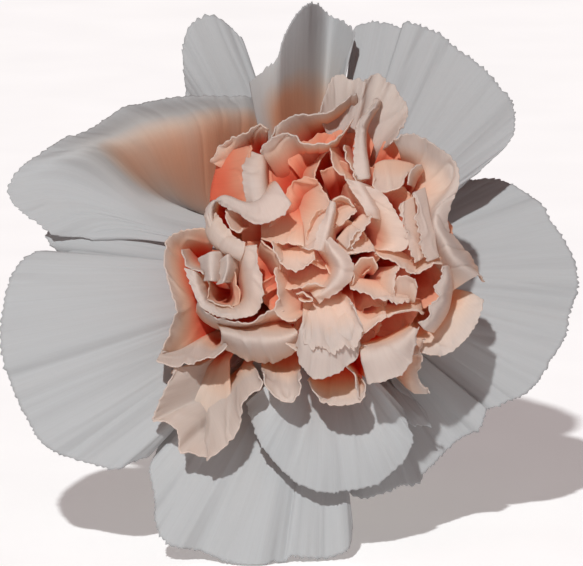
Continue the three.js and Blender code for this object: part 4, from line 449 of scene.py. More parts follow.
     "hem": [(-14.2, 8.2, -0.8), (-13.3, 6.9, -0.5), (-12.3, 5.7, -0.2), (-11.3, 4.5, 0.2),
      (-10.1, 4, 0.4)],
     "folds": [
      [(-14.8, 6.9, 0), (-14, 5.6, 0.6), (-12.9, 4.4, 0.9), (-11.6, 3.4, 1), (-10.3, 2.9, 0.9)],
      [(-15.3, 5.6, -1), (-14.7, 4.3, -0.8), (-13.7, 3.2, -0.6), (-12.2, 2.5, -0.4), (-10.8, 1.8, -0.4)]]},
    {"name": "ribbon",
     "feet": [(6.4, 3.2, -2.5), (7.4, 3.2, -3), (8.7, 3.1, -3), (9.9, 2.7, -3), (10.9, 2, -3),
      (11.6, 1.6, -3), (12.3, 2, -3), (13.4, 2.6, -3), (14.6, 2.6, -3)],
     "hem": [(6.1, 2.5, 0.3), (7.2, 2.2, 0.8), (8.5, 2, 0.9), (9.5, 1.3, 0.9), (10.4, 0.4, 0.8),
      (11.3, -0.1, 0.8), (12.5, 0.5, 0.8), (13.7, 1.2, 0.8), (14.7, 1.2, 0.5)]},
    {"name": "ribbon_right", "tooth": 0.4, "flush_and_painted_shade": -0.15,
     "feet": [(16.1, 1, -3), (16.2, -1, -3), (16, -3, -3), (15.6, -4.7, -3), (14.8, -6.1, -3),
      (13.8, -7.4, -3)],
     "hem": [(14.6, 1, 0.5), (14.7, -0.3, 1), (13.8, -1.6, 1.1), (14.2, -2.9, 1.3), (13.1, -4, 1.1),
      (13, -5.2, 1), (11.8, -6.2, 0.5)],
     "folds": [
      [(15.3, 1.2, 0.1), (15.5, -0.5, 0.8), (15, -2.1, 0.8), (15, -3.5, 0.9), (14.2, -4.7, 0.7),
       (13.7, -5.9, 0.6), (12.6, -7, 0.2)]]},
    {"name": "lace", "tooth": 0.6, "flush_and_painted_shade": -0.05,
     "feet": [(11.2, 10, -0.6), (11.3, 7.9, -0.4), (11.7, 5.7, -0.4), (12, 3.6, -0.4), (12.6, 2.3, -0.5)],
     "hem": [(9.4, 9, 0.3), (9.6, 7.2, 0.6), (10.4, 5.3, 0.7), (10.7, 3.2, 0.7), (11.4, 1.6, 0.5)]},
    {"name": "lace_right", "tooth": 0.6, "flush_and_painted_shade": -0.1,
     "feet": [(12.5, 11.1, -0.4), (12.9, 9, 0), (13.3, 6.9, 0.2), (13.8, 5.1, 0.2), (14, 3.5, 0.1),
      (14.3, 2.2, -0.1)],
     "hem": [(10.9, 10.3, 0.8), (11.3, 8.7, 1.1), (11.2, 7, 1.2), (11.8, 5.1, 1.2), (12, 3.2, 1.1),
      (13, 1.7, 0.8)]},
    {"name": "fan_ring", "flush_and_painted_shade": 0.1,
     "feet": [(4.4, -1.3, -4), (4.7, -0.7, -4), (4.9, -0.1, -4), (5.3, 0.3, -4), (5.7, 0.3, -4),
      (6, 0, -4)],
     "hem": [(3.2, -1.3, 0.1), (3.5, 0.4, 0.6), (4.2, 1.6, 0.8), (5.1, 2, 0.8), (6, 1.7, 0.7),
      (6.5, 0.8, 0.4)]},
    {"name": "fan_middle",
     "feet": [(6.6, -2.5, -2), (6.8, -1.4, -2), (7, -0.4, -2), (7.5, 0.4, -2.2), (8.3, 1, -2.4)],
     "hem": [(8.7, -2.9, 0.2), (8.6, -1.7, 0.7), (8.6, -0.7, 0.9), (8.8, 0.4, 0.9), (9.5, 1.2, 0.6)]},
    {"name": "fan_right",
     "feet": [(8.8, -3.4, -0.9), (9.5, -3.2, -1.1), (10.1, -3.1, -1.1), (10.8, -3.2, -1.1),
      (11.3, -3.5, -0.9)],
     "hem": [(8.3, -1, -0.3), (9, -0.3, 0.4), (10, 0, 0.7), (11.1, -0.5, 0.5), (11.6, -1.6, 0)]},
    {"name": "shelf", "tooth": 0.6,
     "feet": [(2.9, -0.7, -2), (4.2, -0.5, -2.4), (5.5, -0.7, -2.6), (6.9, -0.9, -2.6), (8.2, -1.3, -2.5),
      (9.4, -1.7, -2.2), (10.5, -2, -2)],
     "hem": [(3.1, -2.1, 0.8), (4.3, -2.1, 1.1), (5.3, -2.5, 1.3), (6.4, -2.9, 1.4), (7.8, -3.1, 1.4),
      (9.1, -3.5, 1.2), (10.5, -3.4, 0.6)]},
    {"name": "shelf_low",
     "feet": [(2.9, -4.7, -2), (4, -4.7, -2.5), (5.1, -5.1, -2.6), (6.2, -4.8, -2.6), (7.4, -3.6, -2.6)],
     "hem": [(3.8, -8.2, 0.3), (4.5, -7.5, 0.8), (5.3, -6.9, 1), (6.5, -6, 1), (7.7, -5.3, 0.6)]},
    {"name": "peach_edge",
     "feet": [(7.5, -3.8, -4), (8.8, -4, -4), (10, -3.6, -4), (11.1, -3, -4), (12.1, -3.2, -4)],
     "hem": [(7.5, -5.6, 0.3), (9, -5.2, 0.7), (10.4, -4.8, 0.8), (11.6, -4.7, 0.6), (12.3, -5.1, 0.2)]},
    {"name": "pale",
     "feet": [(-2.9, -3.8, -2), (-2.2, -3.6, -2.4), (-1.4, -3.9, -2.6), (-0.7, -4.3, -2.8),
      (0.3, -3.8, -2.8), (1.2, -3.4, -2.8), (2, -2.9, -2.8), (2.6, -3.6, -2.4)],
     "hem": [(-3.4, -8.2, 0.6), (-3.6, -9.9, 1.4), (-3, -11.7, 2.2), (-1.4, -13.1, 2.8),
      (0.7, -12.7, 2.8), (2.6, -11.6, 2.4), (3.9, -10.5, 1.8), (4.3, -8.8, 0.8)],
     "folds": [
      [(-3, -5.9, 1), (-2.9, -7, 1.4), (-2.2, -8.2, 1.9), (-1, -8.7, 2.2), (0.4, -8.5, 2.2),
       (1.7, -7.8, 2), (2.9, -7, 1.5), (3.5, -6, 0.9)]]},
    {"name": "pale_top", "tooth": 0.8, "flush_and_painted_shade": -0.05,
     "feet": [(-2.3, -4.8, -1), (-1.7, -4.2, -1.5), (-0.9, -3.8, -1.8), (-0.1, -3.5, -2), (0.7, -3.2, -2),
      (1.4, -3, -2.2), (2, -2.9, -2.2), (2.3, -2.7, -2), (2.7, -2.7, -1.5)],
     "hem": [(-2.9, -7.9, 2.2), (-2, -9.2, 2.8), (-0.7, -8.8, 3), (0.8, -10, 3.2), (2.2, -9.1, 3),
      (3.6, -9.4, 2.8), (4.3, -7.3, 2.2), (3.8, -4.9, 1.6), (3.1, -3.4, 1)]},
    {"name": "shell",
     "feet": [(-14, -6.1, -3), (-12.3, -6.4, -3.5), (-10.4, -6.4, -4), (-8.7, -6.1, -4), (-7.4, -6.1, -4),
      (-5.9, -6.2, -4), (-4.4, -6.5, -3.5)],
     "hem": [(-13.4, -9, -2.6), (-12.1, -10, -2.6), (-10.3, -10.9, -2.6), (-8.2, -11.2, -2.6),
      (-5.9, -10.9, -2.5), (-4.3, -10.1, -2.3), (-3.4, -9.1, -2)],
     "folds": [
      [(-13.3, -7.3, 0.2), (-11.7, -7.8, 0.8), (-10, -8.2, 1.1), (-8.2, -8.3, 1.3), (-6.4, -8.2, 1.3),
       (-4.8, -7.8, 1.1), (-3.6, -7.2, 0.6)]]},
    {"name": "shell_lip",
     "feet": [(-4.8, -7.4, -3), (-4.3, -7.8, -3), (-3.8, -7.9, -3), (-3.4, -7.9, -3), (-3.2, -7.5, -3),
      (-3.6, -7, -3)],
     "hem": [(-5.1, -8.5, 0.6), (-4.2, -9.2, 1), (-3.2, -9.5, 1), (-2.5, -9, 1), (-2.5, -7.9, 0.9),
      (-3.2, -7, 0.6)]},
    {"name": "low_shelf",
     "feet": [(-1.4, -12.6, -7), (-0.5, -12.7, -7), (0.4, -12.6, -7), (1.4, -12.3, -7), (2.3, -12.1, -7),
      (3.2, -12.1, -7), (3.8, -12.3, -7), (4, -12.6, -6)],
     "hem": [(-2.5, -13.5, -1), (-1.2, -15.2, 0.2), (-0.1, -16.4, 0.8), (1.4, -16.6, 1), (3.2, -16.5, 1),
      (4.5, -16, 0.8), (5.1, -14.7, 0.4), (4.8, -13.4, 0)]},
    {"name": "right_low",
     "feet": [(4.9, -8.6, -8), (5.9, -8.2, -8), (6.9, -7.7, -8), (7.9, -7.2, -8), (8.8, -6.6, -8),
      (9.6, -6.2, -8), (10.3, -5.9, -8)],
     "hem": [(5.3, -13.7, 1.4), (6.8, -13.5, 2.4), (8.2, -13.1, 2.6), (9.9, -12.3, 2.6), (10.9, -10.5, 2),
      (11.3, -8.6, 1.2), (11.6, -6.6, 0.4)],
     "folds": [
      [(4.3, -9.4, 0.5), (5.5, -9.5, 1), (6.8, -9.4, 1.2), (8.2, -8.8, 1.3), (9.2, -8.3, 1.2),
       (10.1, -7.7, 0.9), (11.1, -6.8, 0.4)]]},
    {"name": "small_rim",
     "feet": [(3, -11.3, -6), (3.9, -12, -7), (4.4, -13, -7), (4.8, -14.2, -6)],
     "hem": [(2, -11.6, 0.2), (3.2, -12.7, 0.6), (3.8, -14, 0.8), (4.3, -15.9, 0.8)]},
    {"name": "small_rim_up",
     "feet": [(3.2, -10, -7), (4, -10.4, -8), (4.4, -11.1, -8), (4.5, -11.8, -8), (4.4, -12.7, -7)],
     "hem": [(4.2, -9.2, 0.2), (5.5, -9.4, 0.6), (6.1, -10.3, 0.8), (6.2, -11.6, 0.8),
      (5.7, -13.4, 0.6)]},
    {"name": "far_right", "flush_and_painted_shade": -0.35,
     "feet": [(11.4, -8.2, -4), (12.6, -7.9, -4.5), (13.8, -7.4, -4.5), (15, -6.5, -4.5),
      (16, -5.3, -4.5), (16.9, -4.3, -4.5), (17.8, -3.2, -4.5), (18.6, -2.2, -4)],
     "hem": [(11.1, -10, -2.5), (12.3, -9.8, -2), (13.9, -10.1, -1.5), (15.6, -10, -1.5),
      (16.9, -9.1, -1.5), (18.3, -7.7, -1.5), (19.5, -5.6, -2), (20.2, -3.2, -2.5)]},
    {"name": "strip_low", "flush_and_painted_shade": -0.3,
     "feet": [(11.2, -8.2, -5), (10.9, -9.4, -5), (10.7, -10.5, -5), (10.7, -11.7, -5), (10.7, -12.9, -5),
      (10.8, -14, -5), (11.4, -15.2, -5)],
     "hem": [(12.3, -8.1, -2), (11.8, -9.8, -2), (12.2, -10.5, -2), (11.8, -11.6, -2.2),
      (11.7, -12.5, -2.4), (12.3, -13.7, -2.6), (13.4, -15.1, -3)]},
    {"name": "cluster_top", "flush_and_painted_shade": -0.2,
     "feet": [(-21.1, -9.8, -2), (-19.2, -9.8, -3), (-17.7, -9.2, -4), (-16.2, -8.7, -5), (-15, -9.1, -6),
      (-13.9, -9.1, -7), (-12.9, -8.1, -6)],
     "hem": [(-21.7, -11.1, 1.5), (-19.1, -11.7, 2.2), (-17.6, -11.6, 2.4), (-16.1, -11.4, 2.4),
      (-14.6, -10.9, 2.2), (-13.4, -10.1, 2), (-12.5, -9.1, 1)]},
    {"name": "cluster_left", "flush_and_painted_shade": -0.2,
     "feet": [(-16, -11.6, -3), (-15.9, -12.9, -3), (-15.6, -14.2, -3), (-15.2, -15.5, -3),
      (-14.8, -16.8, -3), (-14.6, -17.8, -3), (-14.3, -18.9, -3), (-13.9, -19.6, -3), (-13.4, -20.4, -3)],
     "hem": [(-19.1, -11.8, 1.4), (-20, -13.7, 3), (-21.1, -15.7, 3), (-22.1, -18.6, 2.4),
      (-20.4, -18.6, 3), (-18.6, -20.3, 3.4), (-18.9, -22.4, 3.4), (-16.9, -23, 3.4), (-15.2, -23.7, 3)]},
    {"name": "cluster_right", "flush_and_painted_shade": -0.2,
     "feet": [(-15.6, -18.9, -2.5), (-15.3, -17.3, -2.5), (-14.8, -16.2, -2.5), (-13.8, -15.3, -3.5),
      (-12.6, -14.4, -5), (-11.6, -13.3, -6), (-10.7, -11.8, -7), (-9.4, -11.3, -7)],
     "hem": [(-15.2, -23.8, 3.4), (-13.4, -22.6, 4.2), (-11.7, -21.2, 4.4), (-10.8, -18.7, 4.2),
      (-10.5, -16.6, 3.8), (-9.5, -15.1, 3.2), (-8.2, -14.3, 2.4), (-8.2, -12.9, 1.2)]},
    {"name": "cluster_low", "flush_and_painted_shade": -0.2,
     "feet": [(-8.2, -11.6, -6), (-7.4, -11.3, -6.5), (-6.5, -11.3, -7), (-5.7, -11.3, -7),
      (-4.8, -11.3, -7), (-4, -11.3, -6.5), (-3.2, -11.6, -5)],
     "hem": [(-8.2, -12.6, 1), (-7.7, -13.9, 1.6), (-6.8, -15.2, 2), (-5.6, -16.1, 2.2), (-4.3, -16.2, 2),
      (-3.4, -15, 1.6), (-3.1, -12.9, 1)]},
    {"name": "cluster_middle", "flush_and_painted_shade": 0.1,
     "feet": [(-16.5, -11.2, -5), (-15.3, -11.6, -5), (-14.4, -11.8, -5), (-13.7, -11.6, -5),
      (-12.3, -10.8, -5)],
     "hem": [(-19.8, -12.3, -2.2), (-19.1, -15.2, -2.2), (-17.4, -17.7, -2), (-15, -19.2, -2),
      (-12.1, -16.5, -2)]},
]

# ---- Shapes ----


def plane_level(x, y):
    return GUARD_SLOPE_X * x + GUARD_SLOPE_Y * y


def dome_level(x, y):
    up = y - DOME_Y
    reach = math.hypot(x - DOME_X, up if up > 0 else up * DOME_DROOP) / DOME_RADIUS
    reach = min(reach, 1.0)
    return DOME_HEIGHT - (DOME_HEIGHT - DOME_RIM_HEIGHT) * reach * reach


def on_plane(line):
    return [Vector((x, y, plane_level(x, y) + lift)) for x, y, lift in line]


def on_dome(line):
    return [Vector((x, y, dome_level(x, y) + lift)) for x, y, lift in line]


def along(points, share):
    """A point of the smooth curve through the points, by its share of their number."""
    last = len(points) - 1
    if last == 0:
        return points[0].copy()
    place = min(max(share, 0.0), 1.0) * last
    k = min(int(place), last - 1)
    f = place - k
    p1, p2 = points[k], points[k + 1]
    p0 = points[k - 1] if k > 0 else p1 + (p1 - p2)
    p3 = points[k + 2] if k + 2 <= last else p2 + (p2 - p1)
    return 0.5 * (
        2 * p1 + (p2 - p0) * f
        + (2 * p0 - 5 * p1 + 4 * p2 - p3) * f * f
        + (3 * p1 - p0 - 3 * p2 + p3) * f ** 3
    )


def evenly(points, count):
    """count + 1 points at even distances on the smooth curve through the points, and its length."""
    fine = [along(points, k / FINE_STEPS) for k in range(FINE_STEPS + 1)]
    lengths = [0.0]
    for a, b in zip(fine, fine[1:]):
        lengths.append(lengths[-1] + (b - a).length)
    spaced, k = [], 0
    for step in range(count + 1):
        wanted = lengths[-1] * step / count
        while k < FINE_STEPS - 1 and lengths[k + 1] < wanted:
            k += 1
        share = (wanted - lengths[k]) / max(lengths[k + 1] - lengths[k], 1e-9)
        spaced.append(fine[k].lerp(fine[k + 1], min(max(share, 0.0), 1.0)))
    return spaced, lengths[-1]


def bezier(a, b, c, d, t):
    s = 1 - t
    return a * s ** 3 + b * (3 * s * s * t) + c * (3 * s * t * t) + d * t ** 3


def hem_teeth(length, height, rng):
    """The toothed edge of a petal: [distance along the hem, height] of each tip and notch."""
    tips, at = [(0.0, 0.0)], 0.0
    while at < length:
        width = rng.uniform(*TOOTH_WIDTHS)
        tip = rng.uniform(*TOOTH_HEIGHTS) * height
        tips.append((at + width * rng.uniform(*TOOTH_PEAKS), tip))
        tips.append((at + width, -rng.uniform(0.0, NOTCH_DEPTH) * height))
        at += width
    return tips


def ripple(wave, across, v, seed):
    return noise.noise((across * wave[0], v * wave[1], seed + wave[2]))


def tooth_at(tips, distance, k):
    """The height of the toothed edge there, and the tooth it is on, searched for from tooth k."""
    while k < len(tips) - 2 and tips[k + 1][0] < distance:
        k += 1
    (x0, y0), (x1, y1) = tips[k], tips[k + 1]
    share = min(max((distance - x0) / (x1 - x0), 0.0), 1.0)
    return y0 + (y1 - y0) * share, k


def new_piece(name, bm, place, finish, node):
    """Puts a bmesh drawn in millimetres in its place as a piece that stands for a CAD node."""
    bmesh.ops.transform(bm, matrix=TO_METRES @ place, verts=bm.verts)
    mesh = bpy.data.meshes.new(name)
    bm.to_mesh(mesh)
    bm.free()
    mesh.polygons.foreach_set("use_smooth", [True] * len(mesh.polygons))
    mesh.materials.append(finish)
    piece = bpy.data.objects.new(name, mesh)
    bpy.context.scene.collection.objects.link(piece)
    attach(piece, "root")
    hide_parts(node)
    return piece


def thicken(piece, wall):
    solid = piece.modifiers.new("Wall", "SOLIDIFY")
    solid.thickness = wall * MM
    solid.offset = 0.0
    return piece


def grid_of(columns, rows):
    """A flat grid with its share across and its share up for each vertex."""
    bm = bmesh.new()
    bmesh.ops.create_grid(bm, x_segments=columns, y_segments=rows, size=0.5)
    bm.loops.layers.uv.new("UVMap")
    bm.verts.layers.float.new("flush_and_painted_shade")
    bm.verts.layers.float.new("painted_glow")
    shares = {v: (v.co.x + 0.5, v.co.y + 0.5) for v in bm.verts}
    return bm, shares


def map_uv(bm, shares, width):
    """Across in centimetres and up as a share of the blade."""
    uv = bm.loops.layers.uv["UVMap"]
    for face in bm.faces:
        for loop in face.loops:
            u, v = shares[loop.vert]
            loop[uv].uv = (u * width / 10, v)


def fanned_sections(outline, hem, columns):
    """For each column, the curve of a plain petal from its root over its arch to its hem."""
    feet = [Vector(foot) for foot in outline["feet"]]
    foot_share = FOOT_SHARE if len(feet) == 1 else 0.0

    def section(column, root):
        edge = hem[column]
        foot = along(feet, column / columns)
        low = foot.lerp(edge, foot_share)
        low.z = foot.z
        high = foot.lerp(edge, ARCH_SHARE)
        high.z = foot.z + (edge.z - foot.z) * ARCH_RISE + outline.get("arch", 0)
        return lambda v: bezier(root, low, high, edge, v)

    return section


def folded_sections(outline, hem, columns, on_level):
    """For each column, the curve of a folded petal from its claw through its folds to its hem."""
    foot_line, _ = evenly(on_level(outline["feet"]), columns)
    folds = [evenly(on_level(fold), columns)[0] for fold in reversed(outline.get("folds", []))]
    if not folds:
        middle = [a.lerp(b, ARCH_SHARE) for a, b in zip(foot_line, hem)]
        folds = [[point + UP * outline.get("arch", 0) for point in middle]]

    def section(column, root):
        line = [foot_line[column], *(fold[column] for fold in folds), hem[column]]
        foot = line[0]
        bend = (line[1] - foot) * 0.5
        bend.length = min(bend.length, CLAW_BEND, (foot - root).length * 0.4)
        before = foot - bend
        rise = root.lerp(foot, 0.4)

        def place(v):
            if v < CLAW_SHARE:
                return bezier(root, rise, before, foot, v / CLAW_SHARE)
            return along(line, (v - CLAW_SHARE) / (1 - CLAW_SHARE))

        return place

    return section


def petal(name, outline, index, style, finish):
    """A petal blade: from its claw in the throat, through its foot, up to its ruffled, toothed hem."""
    rng = random.Random(index)
    in_heart = style is HEART_STYLE
    on_level = on_dome if in_heart else on_plane
    hem_points = on_level(outline["hem"])
    rough_length = sum((b - a).length for a, b in zip(hem_points, hem_points[1:]))
    columns = max(16, round(rough_length / HEM_STEP))
    hem, length = evenly(hem_points, columns)
    if in_heart or "folds" in outline:
        sections = folded_sections(outline, hem, columns, on_level)
    else:
        sections = fanned_sections(outline, hem, columns)

    middle = sum(hem_points, Vector()) / len(hem_points)
    outwards = Vector((middle.x, middle.y, 0.0)).normalized()
    sideways = Vector((-outwards.y, outwards.x, 0.0))
    if (hem_points[-1] - hem_points[0]).dot(sideways) < 0:
        sideways.negate()
    root_middle = FLOWER_AXIS * -ROOT_DEPTH + outwards * style["root_ring"]
    curves = []
    for column in range(columns + 1):
        root = root_middle + sideways * ((column / columns - 0.5) * ROOT_WIDTH)
        root.z += plane_level(root.x, root.y)
        curves.append(sections(column, root))

    bm, shares = grid_of(columns, style["rows"])
    tips = hem_teeth(length, outline.get("tooth", style["tooth"]), rng)
    teeth, k = [], 0
    for column in range(columns + 1):
        height, k = tooth_at(tips, length * column / columns, k)
        teeth.append(height)
    seed = rng.uniform(0.0, 100.0)
    for vert, (u, t) in list(shares.items()):
        v = 1 - (1 - t) ** 1.3
        column = round(u * columns)
        curve = curves[column]
        point, edge = curve(v), hem[column]
        outward = (edge - curve(0.96)).normalized()
        reach = max(0.0, 1 - (edge - point).length / TOOTH_REACH)
        vert.co = point + outward * (teeth[column] * reach ** 1.5)
        shares[vert] = (u, v)
    bm.normal_update()

    ruffle = outline.get("ruffle", style["ruffle"])
    pleat = style["pleat"]
    creases = outline.get("creases", [])
    moves = {}
    for vert in bm.verts:
        u, v = shares[vert]
        across = u * length
        wave = ripple(BROAD_WAVE, across, v, seed) * BROAD_SHARE
        wave += ripple(SMALL_WAVE, across, v, seed) * SMALL_SHARE
        ridges = ripple(PLEATS, across, v, seed)
        crinkle = ripple(CRINKLES, across, v, seed)
        dent = 1 - min(1.0, abs(ripple(DENTS, across, v, seed)) * DENT_SHARPNESS)
        height = -style["dent"] * dent * dent * v
        height += ruffle * wave * v ** style["grip"] + pleat * ridges * v * v
        height += style["crinkle"] * crinkle * v ** 8
        moves[vert] = vert.normal * (height * outline.get("unrest", 1.0))
        for place, width, depth in creases:
            valley = math.exp(-(((u - place) * length / width) ** 2)) * smoothstep(v, 0.3, 0.95)
            moves[vert] -= UP * (depth * valley)
    for vert, move in moves.items():
        vert.co += move
    map_uv(bm, shares, length)
    flush_and_painted_shade = bm.verts.layers.float["flush_and_painted_shade"]
    painted_glow = bm.verts.layers.float["painted_glow"]
    shift = outline.get("flush_and_painted_shade", 0.0)
    painted_shade_band, shade_band_height, shade_band_start = outline.get("painted_shade_band", (0.0, 0.5, 0.0))
    for vert in bm.verts:
        u, v = shares[vert]
        spread = math.hypot(vert.co.x, vert.co.y)
        # Painted warm shade towards the foot, fading out with the distance from the throat.
        share = 1 - GUARD_WARM_SHADE * (1 - v) * (1 - smoothstep(spread, *WARM_SHADE_REACH))
        # Painted shade: a band up the blade and warm spots, darker and browner where folds turn from the
        # light.
        spot = math.exp(-(((v - shade_band_height) / SHADE_BAND_SPREAD) ** 2))
        share -= painted_shade_band * spot * smoothstep(u, shade_band_start, shade_band_start + SHADE_BAND_FADE)
        for right, up, radius, strength in outline.get("painted_shade_spots", []):
            away = math.hypot(vert.co.x - right, vert.co.y - up) / radius
            share -= strength * math.exp(-away * away)
        # In the heart the colour deepens with depth below the dome: partly the petals' own colour, partly
        # painted shade and red bounce light in the pockets.
        if in_heart:
            depth = dome_level(vert.co.x, vert.co.y) - vert.co.z
            out = math.hypot(vert.co.x - DOME_X, vert.co.y - DOME_Y) / DOME_RADIUS
            share = FLUSH_AT_DOME - depth / FLUSH_AND_SHADE_DEPTH + HEM_PALENESS * smoothstep(v, 0.9, 1.0)
            # Painted glow: in the crowded middle of the heart the petals shine faintly, in place of light
            # scattered between them.
            vert[painted_glow] = (1 - smoothstep(out, 0.2, 0.7)) * smoothstep(share, 0.1, 0.4)
            share += OUTER_PALENESS * smoothstep(out, 0.6, 1.05)
            share = max(share, CLAW_PALENESS * smoothstep(depth, *CLAW_DEPTHS))
        vert[flush_and_painted_shade] = share - shift + CLOUD_PALENESS * ripple(CLOUDS, u * length, v, seed)
    rest_on_table(bm)
    return thicken(new_piece(name, bm, FACE, finish, "bloom"), PETAL_WALL)


def core_petals(finish):
    """Rings of small petals deep between the folds."""
    number = 0
    for radius, count, depth in CORE_RINGS:
        for k in range(count):
            number += 1
            rng = random.Random(number * 31)
            turn = 2 * math.pi * (k + rng.uniform(-0.2, 0.2)) / count
            half = math.pi / count * rng.uniform(1.0, 1.3)
            hem, feet = [], []
            for step in range(-2, 3):
                angle = turn + half * step / 2
                out = radius * (1 + rng.uniform(-0.06, 0.06)) - 0.06 * radius * step * step / 4
                hem.append((
                    DOME_X + out * math.cos(angle), DOME_Y + out * math.sin(angle),
                    -depth + rng.uniform(-0.6, 0.6),
                ))
                inner = radius * 0.55
                feet.append((
                    DOME_X + inner * math.cos(angle), DOME_Y + inner * math.sin(angle), -CORE_DEPTH + 0.5,
                ))
            outline = {"arch": 0.6, "feet": feet, "hem": hem}
            petal("core_petal_" + str(number), outline, number * 31, HEART_STYLE, finish)


def core(finish):
    """The closed heart behind the small petals."""
    bm = bmesh.new()
    bm.verts.layers.float.new("flush_and_painted_shade")
    bm.loops.layers.uv.new("UVMap")
    bmesh.ops.create_circle(bm, cap_ends=True, segments=64, radius=CORE_RADIUS)
    for ring in range(12):
        face = max(bm.faces, key=lambda f: len(f.verts))
        bmesh.ops.inset_region(bm, faces=[face], thickness=CORE_RADIUS / 13)
    for vert in bm.verts:
        vert.co.x += DOME_X
        vert.co.y += DOME_Y
        vert.co.z = dome_level(vert.co.x, vert.co.y) - CORE_DEPTH
    return thicken(new_piece("heart_core", bm, FACE, finish, "bloom"), PETAL_WALL)


def rest_on_table(bm):
    """A hem that would dip under the table lies along it."""
    back = FACE.inverted()
    for vert in bm.verts:
        place = FACE @ vert.co
        if place.z < TABLE_CLEARANCE:
            place.z = TABLE_CLEARANCE
            vert.co = back @ place


# ---- Calyx, bracts and claws, turned about the flower's axis ----


def turned(profile, segments):
    """A profile of (radius, height) turned about +Z, with its poles closed."""
    bm = bmesh.new()
    bm.loops.layers.uv.new("UVMap")
    verts = [bm.verts.new((r, 0.0, h)) for r, h in profile]
    edges = [bm.edges.new(pair) for pair in zip(verts, verts[1:])]
    bmesh.ops.spin(
        bm, geom=verts + edges, cent=(0, 0, 0), axis=(0, 0, 1),
        angle=2 * math.pi, steps=segments, use_merge=True,
    )
    bmesh.ops.remove_doubles(bm, verts=bm.verts, dist=1e-4)
    bmesh.ops.recalc_face_normals(bm, faces=bm.faces)
    return bm


def smooth_profile(profile, steps):
    """The profile with more points on smooth lines between its corners."""
    points = [Vector(point) for point in profile]
    count = (len(points) - 1) * steps
    return [tuple(along(points, k / count)) for k in range(count + 1)]


def smoothstep(value, low, high):
    share = min(max((value - low) / (high - low), 0.0), 1.0)
    return share * share * (3 - 2 * share)


def claw_bundle(finish):
    """The narrow pale claws of all petals, side by side, with a groove between each two."""
    bm = turned(smooth_profile(CLAW_BUNDLE, 5), CLAWS * 6)
    for vert in bm.verts:
        turn = math.atan2(vert.co.y, vert.co.x)
        groove = 0.93 + 0.07 * abs(math.cos(turn * CLAWS / 2))
        vert.co.x *= groove
        vert.co.y *= groove
    return new_piece("claw_bundle", bm, AXIS, finish, "bloom")


def calyx(finish):
    """The toothed tube round the claws, nerved from base to rim."""
    mouth_radius, mouth_height = CALYX_PROFILE[-1]
    pocket = [
        (mouth_radius - CALYX_WALL * 0.35, mouth_height + 0.25),
        (mouth_radius - CALYX_WALL, mouth_height - 0.3),
        (mouth_radius - CALYX_WALL, mouth_height - 2.0),
        (CLAW_BUNDLE[1][0] + GAP, CLAW_BUNDLE[0][1] - GAP),
        (0.0, CLAW_BUNDLE[0][1] - GAP),
    ]
    bm = turned(CALYX_PROFILE[:1] + smooth_profile(CALYX_PROFILE[1:], 9) + pocket, CALYX_NERVES * 6)
    for vert in bm.verts:
        turn = math.atan2(vert.co.y, vert.co.x)
        outside = math.hypot(vert.co.x, vert.co.y) > mouth_radius - CALYX_WALL * 1.6
        along_rim = abs(((turn / (2 * math.pi) * CALYX_TEETH) % 1 + 1) % 1 - 0.5) * 2
        rise = smoothstep(vert.co.z, mouth_height - 3.0, mouth_height)
        if outside:
            nerve = 1 + CALYX_NERVE_HEIGHT * math.cos(turn * CALYX_NERVES) / mouth_radius
            vert.co.x *= nerve
            vert.co.y *= nerve
        vert.co.z += rise * along_rim ** 1.4 * CALYX_TOOTH_HEIGHT
    return new_piece("calyx_tube", bm, AXIS, finish, "calyx")


def bract(number, finish):
    """A pointed scale that wraps a quarter of the calyx's base and overlaps its neighbours."""
    bm, shares = grid_of(26, 30)
    line = [Vector(point) for point in BRACT_LINE]
    outer = number % 2
    for vert, (u, v) in list(shares.items()):
        radius, height = along(line, v)
        above = smoothstep(height, BRACT_SHOULDER - 3.0, BRACT_TIP)
        half = BRACT_HALF_TURN * (1 - above ** 0.8 * 0.97)
        turn = number * 2 * math.pi / BRACT_COUNT + (u - 0.5) * 2 * half
        keel = 0.18 * math.exp(-((u - 0.5) / 0.08) ** 2)
        lie = radius + outer * 0.16 + keel - 0.35 * (1 - v) * (1 - outer)
        vert.co = (lie * math.cos(turn), lie * math.sin(turn), height)
    map_uv(bm, shares, 9.0)
    piece = new_piece("bract_" + str(number + 1), bm, AXIS, finish, "bracts")
    return thicken(piece, 0.28)


# ---- Stem and leaves ----


def stem_line():
    start = AXIS @ Vector((0.0, 0.0, -CALYX_LENGTH - GAP))
    lead = AXIS @ Vector((0.0, 0.0, -CALYX_LENGTH - GAP - STEM_LEAD))
    return [start, lead, *(THROAT + Vector(bend) for bend in STEM_BENDS)]


def place_ring(verts, centre, direction, radius):
    across = UP.cross(direction).normalized()
    above = direction.cross(across).normalized()
    for k, vert in enumerate(verts):
        angle = 2 * math.pi * k / len(verts)
        vert.co = centre + across * (radius * math.cos(angle)) + above * (radius * math.sin(angle))


